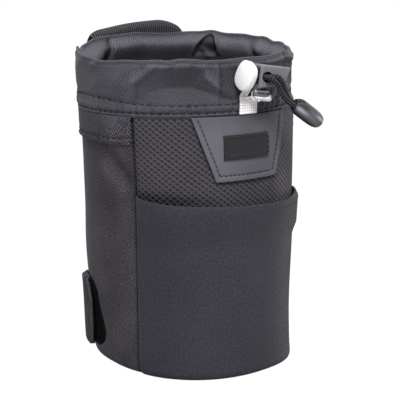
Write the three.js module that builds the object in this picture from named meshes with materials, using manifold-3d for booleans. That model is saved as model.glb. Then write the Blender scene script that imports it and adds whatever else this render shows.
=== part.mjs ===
// A padded belt pouch for a camera lens: a soft round-fronted tube with a flat back, a collar closed by a
// drawcord and a sprung cord lock, a stretch pocket in front, and webbing loops for a belt behind.
// Millimetres. The pouch stands on z = 0, its front faces -Y and +X is to the right seen from the front.

import * as THREE from 'three';
import { mergeVertices } from 'three/addons/utils/BufferGeometryUtils.js';
import Module from 'manifold-3d';

const wasm = await Module();
wasm.setup();

// Gap kept between pieces that touch
const CLEAR = 0.3;

// Wall plan and heights
const SEAM_RADIUS = 52.5;
const BACK_FLATTENING = 6.5;
const BACK_CORNER = 22;
const SEAM_FRONT_DEPTH = 50.5;
const BASE_FRONT_DEPTH = 53;
const BASE_HALF_WIDTH = 48.8;
const BASE_EDGE_ROUND = 5;
const SEAM_HEIGHT = 125;
const FRONT_RIM_HEIGHT = 150;
const BACK_RIM_HEIGHT = 157;

// Layers of the wall and the base
const SHELL = 1.3;
const FOAM = 5.5;
const LINING = 0.6;
const BASE_CLOTH = 1.2;
const BASE_FOAM = 5;

// Panels
const FRONT_SEAM_ANGLE = 61.5;
const BACK_SEAM_FROM_CENTRE = 26;
const YOKE_HEIGHT = 13.5;
const YOKE_CLOTH = 1.8;

// Stretch pocket
const POCKET_HEIGHT = 84;
const POCKET_MOUTH_SLOPE = 3;
const POCKET_MOUTH_DIP = 1.5;
const POCKET_STANDOFF = 5.4;
const POCKET_LOW_EDGE = 12;
const POCKET_FULL_HEIGHT = 66;
const POCKET_CLOTH = 1;

// Badge and the bare label sewn on it
const BADGE_TOP_WIDTH = 52;
const BADGE_BOTTOM_WIDTH = 35.5;
const BADGE_HEIGHT = 29.5;
const BADGE_THICKNESS = 1.2;
const LABEL_WIDTH = 24;
const LABEL_HEIGHT = 11;
const LABEL_THICKNESS = 1;
const LABEL_BELOW_SEAM = 14;

// Collar with its cord tunnel
const COLLAR_CLOTH = 0.9;
const TUNNEL_WIDTH = 3.4;
const CORD_DIAMETER = 2.4;
const CORD_SPACING = 2.7;
const CORD_BELOW_RIM = 7.8;
const EXIT_X = 2.1;
const EXIT_HOLE_WIDTH = 8;
const EXIT_HOLE_HEIGHT = 4;
const EXIT_HOLE_CORNER = 1.2;
const EXIT_PATCH_CLOTH = 0.6;
const EXIT_PATCH_LEFT = 15.5;
const EXIT_PATCH_RIGHT = 10;
const EXIT_PATCH_FOOT = 8.5;
const EXIT_PATCH_BELOW_RIM = 2.5;

// Cord lock, drawn along its own axis with the button at the -X end
const LOCK_FROM_COLLAR = 7.6;
const LOCK_ROLL = 9;
const BARREL_LENGTH = 17;
const BARREL_DEPTH = 9;
const BARREL_HEIGHT = 11;
const BARREL_CORNER = 2;
const BARREL_END_WALL = 1.8;
const BUTTON_TRAVEL = 2.5;
const BUTTON_DEPTH = 12.5;
const BUTTON_HEIGHT = 14;
const BUTTON_THICKNESS = 4.2;
const BUTTON_DOME = 1;
const PLUNGER_DEPTH = 5.6;
const PLUNGER_HEIGHT = 6.6;
const PLUNGER_CORNER = 0.8;
const PLUNGER_NOSE = 3.6;
const CORD_HOLE_FROM_BUTTON_END = 3.6;
const SPRING_WIRE = 0.5;
const SPRING_DIAMETER = 4.4;
const SPRING_TURNS = 4;
const FOOT_BAR_DIAMETER = 2.6;
const FOOT_BAR_DROP = 3.5;
const FOOT_LEG = 1.3;

// Ribbon tab that ties the lock to the collar seam
const RIBBON_WIDTH = 9.6;
const RIBBON_THICKNESS = 0.8;
const RIBBON_FOOT_X = -0.8;
const RIBBON_LOOP_START = -20;
const RIBBON_LOOP_SWEEP = 290;
const RIBBON_LOOP_POINTS = 10;
// Ribbon's way out from the collar and up from the seam, before it goes round the bar
const RIBBON_RISE = [[0, 1], [0, 4], [0.5, 5.9], [2.6, 7]];

// Moulded cord end
const CORD_END_LENGTH = 18.5;
const CORD_END_DIAMETER = 8.2;
const CORD_END_NECK = 5.6;
// Outline of the cord end above its neck, as shares of its radius and its length
const CORD_END_SWELL = [[0.68, 0.1], [0.86, 0.3], [1, 0.52], [0.94, 0.74], [0.7, 0.91], [0.38, 1]];

// Route of the free drawcord ends from the exit hole, and the direction in which the two lie side by side
const TAIL_ROUTE = [
  [0, -1.9, 0], [0, -4.5, 0], [0, -8, 0], [0, -11.7, 0], [0.4, -14.1, 0], [1.8, -15.9, -0.6],
  [3.3, -16.7, -2.6], [4.5, -16.8, -5.2], [6.1, -16.8, -7.9], [8.2, -16.8, -10.45], [10.9, -16.8, -12.3],
];
const TAIL_SIDEWAYS = [
  [1, 0, -0.16], [1, 0, -0.16], [1, 0, -0.16], [1, 0, -0.16], [0.9, 0.42, 0.1], [0.75, 0.15, 0.55],
  [0.8, 0.1, 0.55], [0.9, 0.2, 0.4], [0.75, 0.5, 0.45], [0.5, 0.75, 0.5], [0.35, 0.8, 0.5],
];

// Webbing behind and at the sides
const WEBBING = 1.5;
const STRAP_WIDTH = 57;
const STRAP_TOP = 118;
const STRAP_BOTTOM = 34;
const STRAP_STANDOFF = 6.3;
const TUNNEL_TOP = 103;
const TUNNEL_BOTTOM = 71;
const STRAP_RAMP = 14;
const TAPE_THICKNESS = 0.8;
const TAPE_HEIGHT = 20;
const TAPE_WIDTH = 50;
const ANCHOR_HEIGHT = 5;
const GRAB_LOOP_WIDTH = 56;
const GRAB_LOOP_TOP = 163;
const GRAB_LOOP_FOOT = 125.6;
const GRAB_LOOP_GAP = 4.5;
const GRAB_LOOP_ARCH = 4;
const GRAB_LOOP_RAMP = 15;
const SIDE_LOOP_WIDTH = 24;
const SIDE_LOOP_ANGLE = 108;
const SIDE_LOOP_TOP = 42;
const SIDE_LOOP_BOTTOM = 6;
const SIDE_LOOP_STANDOFF = 6.8;
const SIDE_LOOP_RAMP = 22;
const SIDE_LOOP_TURN = 4.5;

// How finely round shapes are faceted
const GIRTH_STEPS = 64;
const WALL_STEP = 5.1;
const CORD_SIDES = 8;
const CORNER_STEPS = 4;
const OVAL_SIDES = 20;
const TUNNEL_POINTS = 60;
const RUN_STEPS = 90;
const TAIL_STEPS = 16;
const STRIP_STEPS = 30;
const LOOP_POINTS = 7;

const CHARCOAL = '#3b3b40';
const BLACK = '#1d1d20';
const WHITE = '#f2f2f4';

// The wall's plan at the seam: a round front, two corner arcs and a flat back
const BACK_DEPTH = SEAM_RADIUS - BACK_FLATTENING;
const CORNER_Y = BACK_DEPTH - BACK_CORNER;
const CORNER_X = Math.sqrt((SEAM_RADIUS - BACK_CORNER) ** 2 - CORNER_Y ** 2);
const ROUND_ANGLE = Math.PI - Math.atan2(CORNER_X, CORNER_Y);
const ROUND_LENGTH = SEAM_RADIUS * ROUND_ANGLE;
const CORNER_LENGTH = BACK_CORNER * (Math.PI - ROUND_ANGLE);
const HALF_GIRTH = ROUND_LENGTH + CORNER_LENGTH + CORNER_X;
const FRONT_SEAM = SEAM_RADIUS * THREE.MathUtils.degToRad(FRONT_SEAM_ANGLE);
const BACK_SEAM = HALF_GIRTH - BACK_SEAM_FROM_CENTRE;
const EDGE_LEVELS = [0.3, 1.2, 2.8, BASE_EDGE_ROUND];

const pouch = new THREE.Group();

// Point of the plan at a distance along the wall from the front centre, moved outwards by an offset
function planPoint(distance, offset) {
  const side = distance < 0 ? -1 : 1;
  const run = Math.abs(distance);
  if (run <= ROUND_LENGTH) {
    const angle = run / SEAM_RADIUS;
    const reach = SEAM_RADIUS + offset;
    return [side * reach * Math.sin(angle), -reach * Math.cos(angle)];
  }
  if (run <= ROUND_LENGTH + CORNER_LENGTH) {
    const angle = ROUND_ANGLE + (run - ROUND_LENGTH) / BACK_CORNER;
    const reach = BACK_CORNER + offset;
    return [side * (CORNER_X + reach * Math.sin(angle)), CORNER_Y - reach * Math.cos(angle)];
  }
  return [side * (HALF_GIRTH - run), BACK_DEPTH + offset];
}

// The same point at a height: the wall narrows to the base and turns under at the bottom edge
function wallPoint(distance, offset, height) {
  const below = Math.max(BASE_EDGE_ROUND - height, 0);
  const inset = BASE_EDGE_ROUND - Math.sqrt(BASE_EDGE_ROUND ** 2 - below ** 2);
  const [x, y] = planPoint(distance, offset - inset);
  const rise = THREE.MathUtils.clamp(height / SEAM_HEIGHT, 0, 1);
  const width = THREE.MathUtils.lerp(BASE_HALF_WIDTH, SEAM_RADIUS, rise) / SEAM_RADIUS;
  const depth = y < 0 ? THREE.MathUtils.lerp(BASE_FRONT_DEPTH, SEAM_FRONT_DEPTH, rise) / SEAM_RADIUS : 1;
  return new THREE.Vector3(x * width, y * depth, height);
}

// Height of the collar's rim, lowest in front and highest at the back
function rimHeight(distance) {
  const mean = (FRONT_RIM_HEIGHT + BACK_RIM_HEIGHT) / 2;
  const swing = (BACK_RIM_HEIGHT - FRONT_RIM_HEIGHT) / 2;
  return mean - swing * Math.cos((Math.PI * distance) / HALF_GIRTH);
}

// Welds a geometry into one closed surface with its faces pointing out
function closed(geometry) {
  geometry.deleteAttribute('normal');
  geometry.deleteAttribute('uv');
  const welded = mergeVertices(geometry, 1e-4);
  const index = welded.index.array;
  const place = welded.attributes.position;
  const corners = [0, 1, 2].map(() => new THREE.Vector3());
  const faces = [];
  let volume = 0;
  for (let i = 0; i < index.length; i += 3) {
    const [a, b, c] = index.slice(i, i + 3);
    if (a === b || b === c || c === a) continue;
    [a, b, c].forEach((vertex, k) => corners[k].fromBufferAttribute(place, vertex));
    volume += corners[0].dot(corners[1].clone().cross(corners[2]));
    faces.push([a, b, c]);
  }
  const order = volume > 0 ? ([a, b, c]) => [a, b, c] : ([a, b, c]) => [a, c, b];
  welded.setIndex(faces.flatMap(order));
  return welded;
}

function solidOf(geometry) {
  const surface = closed(geometry);
  const vertProperties = new Float32Array(surface.attributes.position.array);
  const triVerts = new Uint32Array(surface.index.array);
  return new wasm.Manifold(new wasm.Mesh({ numProp: 3, vertProperties, triVerts }));
}

function geometryOf(solid) {
  const mesh = solid.getMesh();
  const geometry = new THREE.BufferGeometry();
  geometry.setAttribute('position', new THREE.BufferAttribute(new Float32Array(mesh.vertProperties), 3));
  geometry.setIndex(new THREE.BufferAttribute(new Uint32Array(mesh.triVerts), 1));
  return geometry;
}

// A block of cells bent into place: each corner of the unit block goes where shape(u, v, w) says
function bent(steps, shape) {
  const geometry = new THREE.BoxGeometry(1, 1, 1, ...steps);
  const place = geometry.attributes.position;
  for (let i = 0; i < place.count; i += 1) {
    place.setXYZ(i, ...shape(place.getX(i) + 0.5, place.getY(i) + 0.5, place.getZ(i) + 0.5).toArray());
  }
  return geometry;
}

// A piece of cloth on the wall between two distances, through the given levels
function wallPanel(from, to, levels, inner, outer) {
  const across = Math.max(2, Math.round((to - from) / WALL_STEP));
  return bent([across, levels.length - 1, 1], (u, v, w) => {
    const height = levels[Math.round(v * (levels.length - 1))];
    return wallPoint(THREE.MathUtils.lerp(from, to, u), THREE.MathUtils.lerp(inner, outer, w), height);
  });
}

// A ring all round the wall, from a closed profile of offsets and heights; a height may vary along the wall
function wallRing(profile) {
  const outline = [...profile, profile[0]];
  const geometry = new THREE.LatheGeometry(outline.map((_, k) => new THREE.Vector2(1 + k, k)), GIRTH_STEPS);
  const place = geometry.attributes.position;
  for (let i = 0; i < place.count; i += 1) {
    const distance = HALF_GIRTH * ((2 * Math.floor(i / outline.length)) / GIRTH_STEPS - 1);
    const [offset, height] = outline[i % outline.length];
    const level = typeof height === 'function' ? height(distance) : height;
    place.setXYZ(i, ...wallPoint(distance, offset, level).toArray());
  }
  return geometry;
}

// A flat disc with the plan of the wall at an offset
function wallDisc(offset, low, high) {
  const profile = [[0, low], [1, low], [1, high], [0, high]];
  const geometry = new THREE.LatheGeometry(profile.map(([x, y]) => new THREE.Vector2(x, y)), GIRTH_STEPS);
  const place = geometry.attributes.position;
  for (let i = 0; i < place.count; i += 1) {
    const distance = HALF_GIRTH * ((2 * Math.floor(i / profile.length)) / GIRTH_STEPS - 1);
    const [share, height] = profile[i % profile.length];
    const edge = wallPoint(distance, offset, BASE_EDGE_ROUND);
    place.setXYZ(i, edge.x * share, edge.y * share, height);
  }
  return geometry;
}

// A flat strip of webbing or ribbon that follows a curve of (out, up) points; place puts it on the pouch
function strip(points, steps, width, thickness, place) {
  const path = new THREE.SplineCurve(points.map(([out, up]) => new THREE.Vector2(out, up)));
  const curve = path.getSpacedPoints(steps);
  return bent([4, steps, 1], (u, v, w) => {
    const k = Math.round(v * steps);
    const along = curve[Math.min(k + 1, steps)].clone().sub(curve[Math.max(k - 1, 0)]).normalize();
    const lift = (w - 0.5) * thickness;
    return place((u - 0.5) * width, curve[k].x + along.y * lift, curve[k].y - along.x * lift, v);
  });
}

function circle(radius, sides) {
  const turn = (2 * Math.PI) / sides;
  const corner = (_, k) => new THREE.Vector2(radius * Math.cos(k * turn), radius * Math.sin(k * turn));
  return new THREE.Shape(Array.from({ length: sides }, corner));
}

function tube(curve, radius, steps, sides) {
  return new THREE.ExtrudeGeometry(circle(radius, sides), { steps, extrudePath: curve, bevelEnabled: false });
}

function roundedRectangle(width, height, radius) {
  const shape = new THREE.Shape();
  const x = width / 2 - radius;
  const y = height / 2 - radius;
  shape.absarc(x, y, radius, 0, Math.PI / 2);
  shape.absarc(-x, y, radius, Math.PI / 2, Math.PI);
  shape.absarc(-x, -y, radius, Math.PI, 1.5 * Math.PI);
  shape.absarc(x, -y, radius, 1.5 * Math.PI, 2 * Math.PI);
  return shape;
}

function oval(width, height, sides) {
  const shape = new THREE.Shape();
  const turn = (2 * Math.PI) / sides;
  const point = (angle) => new THREE.Vector2((width / 2) * Math.cos(angle), (height / 2) * Math.sin(angle));
  shape.setFromPoints(Array.from({ length: sides }, (_, k) => point(k * turn)));
  return shape;
}

// A prism along X; the shape's first size stands up along Z and its second lies along Y
function prismX(shape, from, to) {
  const settings = { depth: to - from, bevelEnabled: false, curveSegments: CORNER_STEPS };
  const geometry = new THREE.ExtrudeGeometry(shape, settings);
  return geometry.rotateY(Math.PI / 2).translate(from, 0, 0);
}

// A prism along Y, centred on a depth; the shape's first size lies along X and its second along Z
function prismY(shape, x, middle, z, length) {
  const settings = { depth: length, bevelEnabled: false, curveSegments: CORNER_STEPS };
  const geometry = new THREE.ExtrudeGeometry(shape, settings);
  return geometry.rotateX(Math.PI / 2).translate(x, middle + length / 2, z);
}

function add(group, name, geometry, color, roughness) {
  const material = new THREE.MeshStandardMaterial({ color, roughness, metalness: 0 });
  const mesh = new THREE.Mesh(closed(geometry), material);
  mesh.name = name;
  group.add(mesh);
}

// Base: outer cloth, foam and lining, one on the other inside the foot of the wall
const FOAM_OUTER = -SHELL - CLEAR;
const FOAM_INNER = FOAM_OUTER - FOAM;
const LINING_OUTER = FOAM_INNER - CLEAR;
const LINING_INNER = LINING_OUTER - LINING;
const BASE_FOAM_LOW = BASE_CLOTH + CLEAR;
const BASE_FOAM_HIGH = BASE_FOAM_LOW + BASE_FOAM;
const BASE_LINING_HIGH = BASE_FOAM_HIGH + CLEAR + LINING;
const FOOT_TURN = BASE_EDGE_ROUND - BASE_FOAM_LOW;
const FOOT_INSET = BASE_EDGE_ROUND - Math.sqrt(BASE_EDGE_ROUND ** 2 - FOOT_TURN ** 2);

function base() {
  const underEdge = -BASE_EDGE_ROUND - SHELL - CLEAR;
  add(pouch, 'base_panel', wallDisc(underEdge, 0, BASE_CLOTH), CHARCOAL, 0.85);
  const foamEdge = FOAM_INNER - FOOT_INSET - CLEAR;
  add(pouch, 'base_foam', wallDisc(foamEdge, BASE_FOAM_LOW, BASE_FOAM_HIGH), BLACK, 0.95);
  add(pouch, 'base_lining', wallDisc(LINING_OUTER, BASE_FOAM_HIGH + CLEAR, BASE_LINING_HIGH), CHARCOAL, 0.8);
}

// Wall: foam tube, lining tube and the outer panels, all ending under the collar
const WALL_TOP = SEAM_HEIGHT - CLEAR;

function wall() {
  const rise = EDGE_LEVELS.filter((level) => level > BASE_FOAM_LOW);
  const levels = [BASE_FOAM_LOW, ...rise, WALL_TOP];
  const outside = levels.map((level) => [FOAM_OUTER, level]);
  const inside = levels.map((level) => [FOAM_INNER, level]).reverse();
  add(pouch, 'wall_foam', wallRing([...outside, ...inside]), BLACK, 0.95);
  const liningFoot = BASE_LINING_HIGH + CLEAR;
  const liningProfile = [
    [LINING_OUTER, liningFoot], [LINING_OUTER, WALL_TOP],
    [LINING_INNER, WALL_TOP], [LINING_INNER, liningFoot],
  ];
  add(pouch, 'wall_lining', wallRing(liningProfile), CHARCOAL, 0.8);

  const fullHeight = [...EDGE_LEVELS, WALL_TOP];
  const yokeFoot = SEAM_HEIGHT - YOKE_HEIGHT;
  const sideHeight = [...EDGE_LEVELS, yokeFoot - CLEAR];
  const halfGap = CLEAR / 2;
  const front = wallPanel(-FRONT_SEAM + halfGap, FRONT_SEAM - halfGap, fullHeight, -SHELL, 0);
  add(pouch, 'front_mesh_panel', front, CHARCOAL, 0.9);
  for (const [name, side] of [['left', -1], ['right', 1]]) {
    const ends = [side * (FRONT_SEAM + halfGap), side * (BACK_SEAM - halfGap)].sort((a, b) => a - b);
    add(pouch, `${name}_side_panel`, wallPanel(...ends, sideHeight, -SHELL, 0), CHARCOAL, 0.85);
    const yoke = wallPanel(...ends, [yokeFoot, WALL_TOP], -SHELL, YOKE_CLOTH - SHELL);
    add(pouch, `${name}_yoke_band`, yoke, CHARCOAL, 0.85);
  }
  const half = BACK_SEAM_FROM_CENTRE - halfGap;
  const back = bent([10, fullHeight.length - 1, 1], (u, v, w) => {
    const distance = HALF_GIRTH - Math.abs(u - 0.5) * 2 * half;
    const height = fullHeight[Math.round(v * (fullHeight.length - 1))];
    return wallPoint(u < 0.5 ? -distance : distance, (w - 1) * SHELL, height);
  });
  add(pouch, 'back_panel', back, CHARCOAL, 0.85);
}

// Stretch pocket: sewn at its sides and foot, it stands off the mesh towards its mouth
function pocket() {
  const half = FRONT_SEAM - CLEAR / 2;
  const rows = 10;
  const edgeRows = EDGE_LEVELS.length - 1;
  const across = Math.round((2 * half) / WALL_STEP);
  const cloth = bent([across, edgeRows + rows, 1], (u, v, w) => {
    const side = 2 * u - 1;
    const mouth = POCKET_HEIGHT - POCKET_MOUTH_SLOPE * side + POCKET_MOUTH_DIP * side ** 2;
    const row = Math.round(v * (edgeRows + rows));
    const share = Math.max(row - edgeRows, 0) / rows;
    const height = row < edgeRows ? EDGE_LEVELS[row] : THREE.MathUtils.lerp(BASE_EDGE_ROUND, mouth, share);
    const open = THREE.MathUtils.smoothstep(height, POCKET_LOW_EDGE, POCKET_FULL_HEIGHT);
    const standoff = POCKET_STANDOFF * (1 - side ** 4) * open;
    return wallPoint(side * half, CLEAR + standoff + w * POCKET_CLOTH, height);
  });
  add(pouch, 'stretch_pocket', cloth, '#3f3f45', 0.95);
}

// Badge under the collar and the bare label sewn on it
function badge() {
  const top = SEAM_HEIGHT - CLEAR;
  const plate = bent([12, 4, 1], (u, v, w) => {
    const width = THREE.MathUtils.lerp(BADGE_BOTTOM_WIDTH, BADGE_TOP_WIDTH, v);
    const height = THREE.MathUtils.lerp(top - BADGE_HEIGHT, top, v);
    return wallPoint((u - 0.5) * width, CLEAR + w * BADGE_THICKNESS, height);
  });
  add(pouch, 'badge_panel', plate, '#55555b', 0.6);
  const face = 2 * CLEAR + BADGE_THICKNESS;
  const label = bent([6, 2, 1], (u, v, w) => {
    const height = SEAM_HEIGHT - LABEL_BELOW_SEAM + (v - 0.5) * LABEL_HEIGHT;
    return wallPoint((u - 0.5) * LABEL_WIDTH, face + w * LABEL_THICKNESS, height);
  });
  add(pouch, 'label_patch', label, '#2a2b30', 0.5);
}

// Collar: an outer and an inner wall joined at the rim, with the cord tunnel between them
const COLLAR_DEPTH = 2 * COLLAR_CLOTH + TUNNEL_WIDTH;
const COLLAR_FRONT = -SEAM_FRONT_DEPTH;
const CORD_HEIGHT = Math.min(FRONT_RIM_HEIGHT, BACK_RIM_HEIGHT) - CORD_BELOW_RIM;

function exitHole() {
  const shape = roundedRectangle(EXIT_HOLE_WIDTH, EXIT_HOLE_HEIGHT, EXIT_HOLE_CORNER);
  const length = TUNNEL_WIDTH + 4 * COLLAR_CLOTH;
  const inside = COLLAR_FRONT + COLLAR_DEPTH / 2;
  return solidOf(prismY(shape, EXIT_X, inside - length / 2, CORD_HEIGHT, length));
}

function collar() {
  const ceiling = (distance) => rimHeight(distance) - COLLAR_CLOTH;
  const profile = [
    [0, SEAM_HEIGHT], [0, rimHeight], [-COLLAR_DEPTH, rimHeight], [-COLLAR_DEPTH, SEAM_HEIGHT],
    [COLLAR_CLOTH - COLLAR_DEPTH, SEAM_HEIGHT], [COLLAR_CLOTH - COLLAR_DEPTH, ceiling],
    [-COLLAR_CLOTH, ceiling], [-COLLAR_CLOTH, SEAM_HEIGHT],
  ];
  const cloth = solidOf(wallRing(profile)).subtract(exitHole());
  add(pouch, 'collar', geometryOf(cloth), CHARCOAL, 0.75);
  const patch = bent([6, 2, 1], (u, v, w) => {
    const distance = THREE.MathUtils.lerp(-EXIT_PATCH_LEFT, EXIT_PATCH_RIGHT, u);
    const top = rimHeight(distance) - EXIT_PATCH_BELOW_RIM;
    const height = THREE.MathUtils.lerp(SEAM_HEIGHT + EXIT_PATCH_FOOT, top, v);
    return wallPoint(distance, CLEAR + w * EXIT_PATCH_CLOTH, height);
  });
  add(pouch, 'cord_exit_patch', geometryOf(solidOf(patch).subtract(exitHole())), '#333338', 0.6);
}

// Drawcord: round the tunnel, with both ends brought out side by side through the exit hole
function drawcordRun() {
  const middle = -COLLAR_DEPTH / 2;
  const mouth = COLLAR_FRONT - EXIT_PATCH_CLOTH - 2 * CLEAR;
  const half = CORD_SPACING / 2;
  const turn = CORD_DIAMETER;
  const exitDistance = SEAM_RADIUS * Math.asin(EXIT_X / SEAM_RADIUS);
  const start = exitDistance + half + turn;
  const end = 2 * HALF_GIRTH + exitDistance - half - turn;
  const inTunnel = Array.from({ length: TUNNEL_POINTS + 1 }, (_, k) => {
    const run = THREE.MathUtils.lerp(start, end, k / TUNNEL_POINTS);
    return wallPoint(run > HALF_GIRTH ? run - 2 * HALF_GIRTH : run, middle, CORD_HEIGHT);
  });
  const bend = (side, share) => {
    const x = EXIT_X + side * (half + turn * (1 - Math.cos(share)));
    const depth = COLLAR_FRONT - middle - turn * (1 - Math.sin(share));
    return new THREE.Vector3(x, depth, CORD_HEIGHT);
  };
  const points = [
    new THREE.Vector3(EXIT_X + half, mouth, CORD_HEIGHT), bend(1, 0), bend(1, Math.PI / 4),
    ...inTunnel,
    bend(-1, Math.PI / 4), bend(-1, 0), new THREE.Vector3(EXIT_X - half, mouth, CORD_HEIGHT),
  ];
  const route = new THREE.CatmullRomCurve3(points, false, 'centripetal');
  route.arcLengthDivisions = 800;
  add(pouch, 'drawcord_run', tube(route, CORD_DIAMETER / 2, RUN_STEPS, CORD_SIDES), BLACK, 0.9);
}

// Cord lock: barrel with its foot bar, plunger with the button on its end, and the spring between them
const LOCK_Y = COLLAR_FRONT - LOCK_FROM_COLLAR;
const BARREL_LEFT = -BARREL_LENGTH / 2;
const BARREL_RIGHT = BARREL_LENGTH / 2;
const BORE_END = BARREL_RIGHT - BARREL_END_WALL;
const CORD_HOLE_X = BARREL_LEFT + CORD_HOLE_FROM_BUTTON_END;
const CORD_HOLE_WIDTH = CORD_SPACING + CORD_DIAMETER + 2 * CLEAR;
const CORD_HOLE_HEIGHT = CORD_DIAMETER + 2 * CLEAR;
const PLUNGER_END = CORD_HOLE_X + CORD_HOLE_WIDTH / 2 + PLUNGER_NOSE;
const FOOT_AXIS = -BARREL_HEIGHT / 2 - FOOT_BAR_DROP;
const FOOT_INSIDE = RIBBON_WIDTH + 2 * CLEAR;
const FOOT_CENTRE = BARREL_LEFT + FOOT_LEG + FOOT_INSIDE / 2;

const lock = new THREE.Group();
lock.rotation.y = THREE.MathUtils.degToRad(LOCK_ROLL);
lock.position.set(EXIT_X, LOCK_Y, CORD_HEIGHT);
lock.position.sub(new THREE.Vector3(CORD_HOLE_X, 0, 0).applyEuler(lock.rotation));

function lockBarrel() {
  const section = roundedRectangle(BARREL_HEIGHT, BARREL_DEPTH, BARREL_CORNER);
  const body = solidOf(prismX(section, BARREL_LEFT, BARREL_RIGHT));
  const boreHeight = PLUNGER_HEIGHT + 2 * CLEAR;
  const boreDepth = PLUNGER_DEPTH + 2 * CLEAR;
  const boreSection = roundedRectangle(boreHeight, boreDepth, PLUNGER_CORNER + CLEAR);
  const bore = solidOf(prismX(boreSection, BARREL_LEFT - CLEAR, BORE_END));
  const holeShape = oval(CORD_HOLE_WIDTH, CORD_HOLE_HEIGHT + 2 * CLEAR, OVAL_SIDES);
  const hole = solidOf(prismY(holeShape, CORD_HOLE_X, 0, 0, BARREL_DEPTH + 2 * CLEAR));
  const barReach = (FOOT_INSIDE + FOOT_LEG) / 2;
  const round = circle(FOOT_BAR_DIAMETER / 2, OVAL_SIDES);
  const bar = prismX(round, FOOT_CENTRE - barReach, FOOT_CENTRE + barReach).translate(0, 0, FOOT_AXIS);
  let barrel = body.subtract(bore).subtract(hole).add(solidOf(bar));
  const legReach = FOOT_BAR_DROP + BARREL_CORNER;
  for (const side of [-1, 1]) {
    const leg = new THREE.BoxGeometry(FOOT_LEG, FOOT_BAR_DIAMETER, legReach);
    leg.translate(FOOT_CENTRE + side * barReach, 0, FOOT_AXIS + legReach / 2);
    barrel = barrel.add(solidOf(leg).subtract(bore));
  }
  add(lock, 'lock_barrel', geometryOf(barrel), '#4a4a50', 0.45);
}

function lockButton() {
  const capInner = BARREL_LEFT - BUTTON_TRAVEL - CLEAR;
  const rim = BUTTON_THICKNESS - BUTTON_DOME;
  const cap = prismX(oval(BUTTON_HEIGHT, BUTTON_DEPTH, OVAL_SIDES), capInner - rim, capInner);
  const domeShape = oval(BUTTON_HEIGHT - 2 * BUTTON_DOME, BUTTON_DEPTH - 2 * BUTTON_DOME, OVAL_SIDES);
  const dome = prismX(domeShape, capInner - BUTTON_THICKNESS, capInner - rim / 2);
  const section = roundedRectangle(PLUNGER_HEIGHT, PLUNGER_DEPTH, PLUNGER_CORNER);
  const shaft = prismX(section, capInner - rim / 2, PLUNGER_END);
  const slotRight = CORD_HOLE_X + CORD_HOLE_WIDTH / 2;
  const slotLeft = CORD_HOLE_X - CORD_HOLE_WIDTH / 2 - BUTTON_TRAVEL;
  const slotShape = roundedRectangle(slotRight - slotLeft, CORD_HOLE_HEIGHT, PLUNGER_CORNER);
  const slot = prismY(slotShape, (slotLeft + slotRight) / 2, 0, 0, BUTTON_DEPTH);
  const button = solidOf(cap).add(solidOf(dome)).add(solidOf(shaft)).subtract(solidOf(slot));
  add(lock, 'lock_button', geometryOf(button), WHITE, 0.25);
}

class SpringLine extends THREE.Curve {
  constructor(from, to, radius, turns) {
    super();
    Object.assign(this, { from, to, radius, turns });
  }

  getPoint(t, target = new THREE.Vector3()) {
    const angle = 2 * Math.PI * this.turns * t;
    const x = THREE.MathUtils.lerp(this.from, this.to, t);
    return target.set(x, this.radius * Math.cos(angle), this.radius * Math.sin(angle));
  }
}

function lockSpring() {
  const inset = CLEAR + SPRING_WIRE / 2;
  const radius = (SPRING_DIAMETER - SPRING_WIRE) / 2;
  const line = new SpringLine(PLUNGER_END + inset, BORE_END - inset, radius, SPRING_TURNS);
  const pitch = (BORE_END - PLUNGER_END - 2 * inset) / SPRING_TURNS;
  console.log(`lock_spring gap between turns ${(pitch - SPRING_WIRE).toFixed(2)} mm`);
  add(lock, 'lock_spring', tube(line, SPRING_WIRE / 2, SPRING_TURNS * 8, 5), '#b9bcc2', 0.3);
}

// Free ends of the drawcord: through the lock, over in an arch and down into the cord end
const EXIT = new THREE.Vector3(EXIT_X, COLLAR_FRONT, CORD_HEIGHT);
const TAIL_POINTS = TAIL_ROUTE.map((point) => new THREE.Vector3(...point).add(EXIT));

function drawcordTails() {
  for (const [name, side] of [['left', -1], ['right', 1]]) {
    const points = TAIL_POINTS.map((point, k) => {
      const across = new THREE.Vector3(...TAIL_SIDEWAYS[k]).normalize();
      return point.clone().addScaledVector(across, (side * CORD_SPACING) / 2);
    });
    const route = new THREE.CatmullRomCurve3(points, false, 'centripetal');
    add(pouch, `drawcord_tail_${name}`, tube(route, CORD_DIAMETER / 2, TAIL_STEPS, CORD_SIDES), BLACK, 0.9);
  }
}

function cordEnd() {
  const end = TAIL_POINTS.at(-1);
  const along = end.clone().sub(TAIL_POINTS.at(-2)).normalize();
  const reach = CORD_END_DIAMETER / 2;
  const swell = CORD_END_SWELL.map(([out, up]) => new THREE.Vector2(out * reach, up * CORD_END_LENGTH));
  const bottom = new THREE.Vector2(0, 0);
  const neck = new THREE.Vector2(CORD_END_NECK / 2, 0);
  const tip = new THREE.Vector2(0, CORD_END_LENGTH);
  const geometry = new THREE.LatheGeometry([bottom, neck, ...swell, tip], OVAL_SIDES);
  const turn = new THREE.Quaternion().setFromUnitVectors(new THREE.Vector3(0, 1, 0), along);
  const seat = end.clone().addScaledVector(along, CLEAR);
  geometry.applyQuaternion(turn).translate(seat.x, seat.y, seat.z);
  add(pouch, 'cord_end', geometry, '#3a3b40', 0.25);
}

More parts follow.
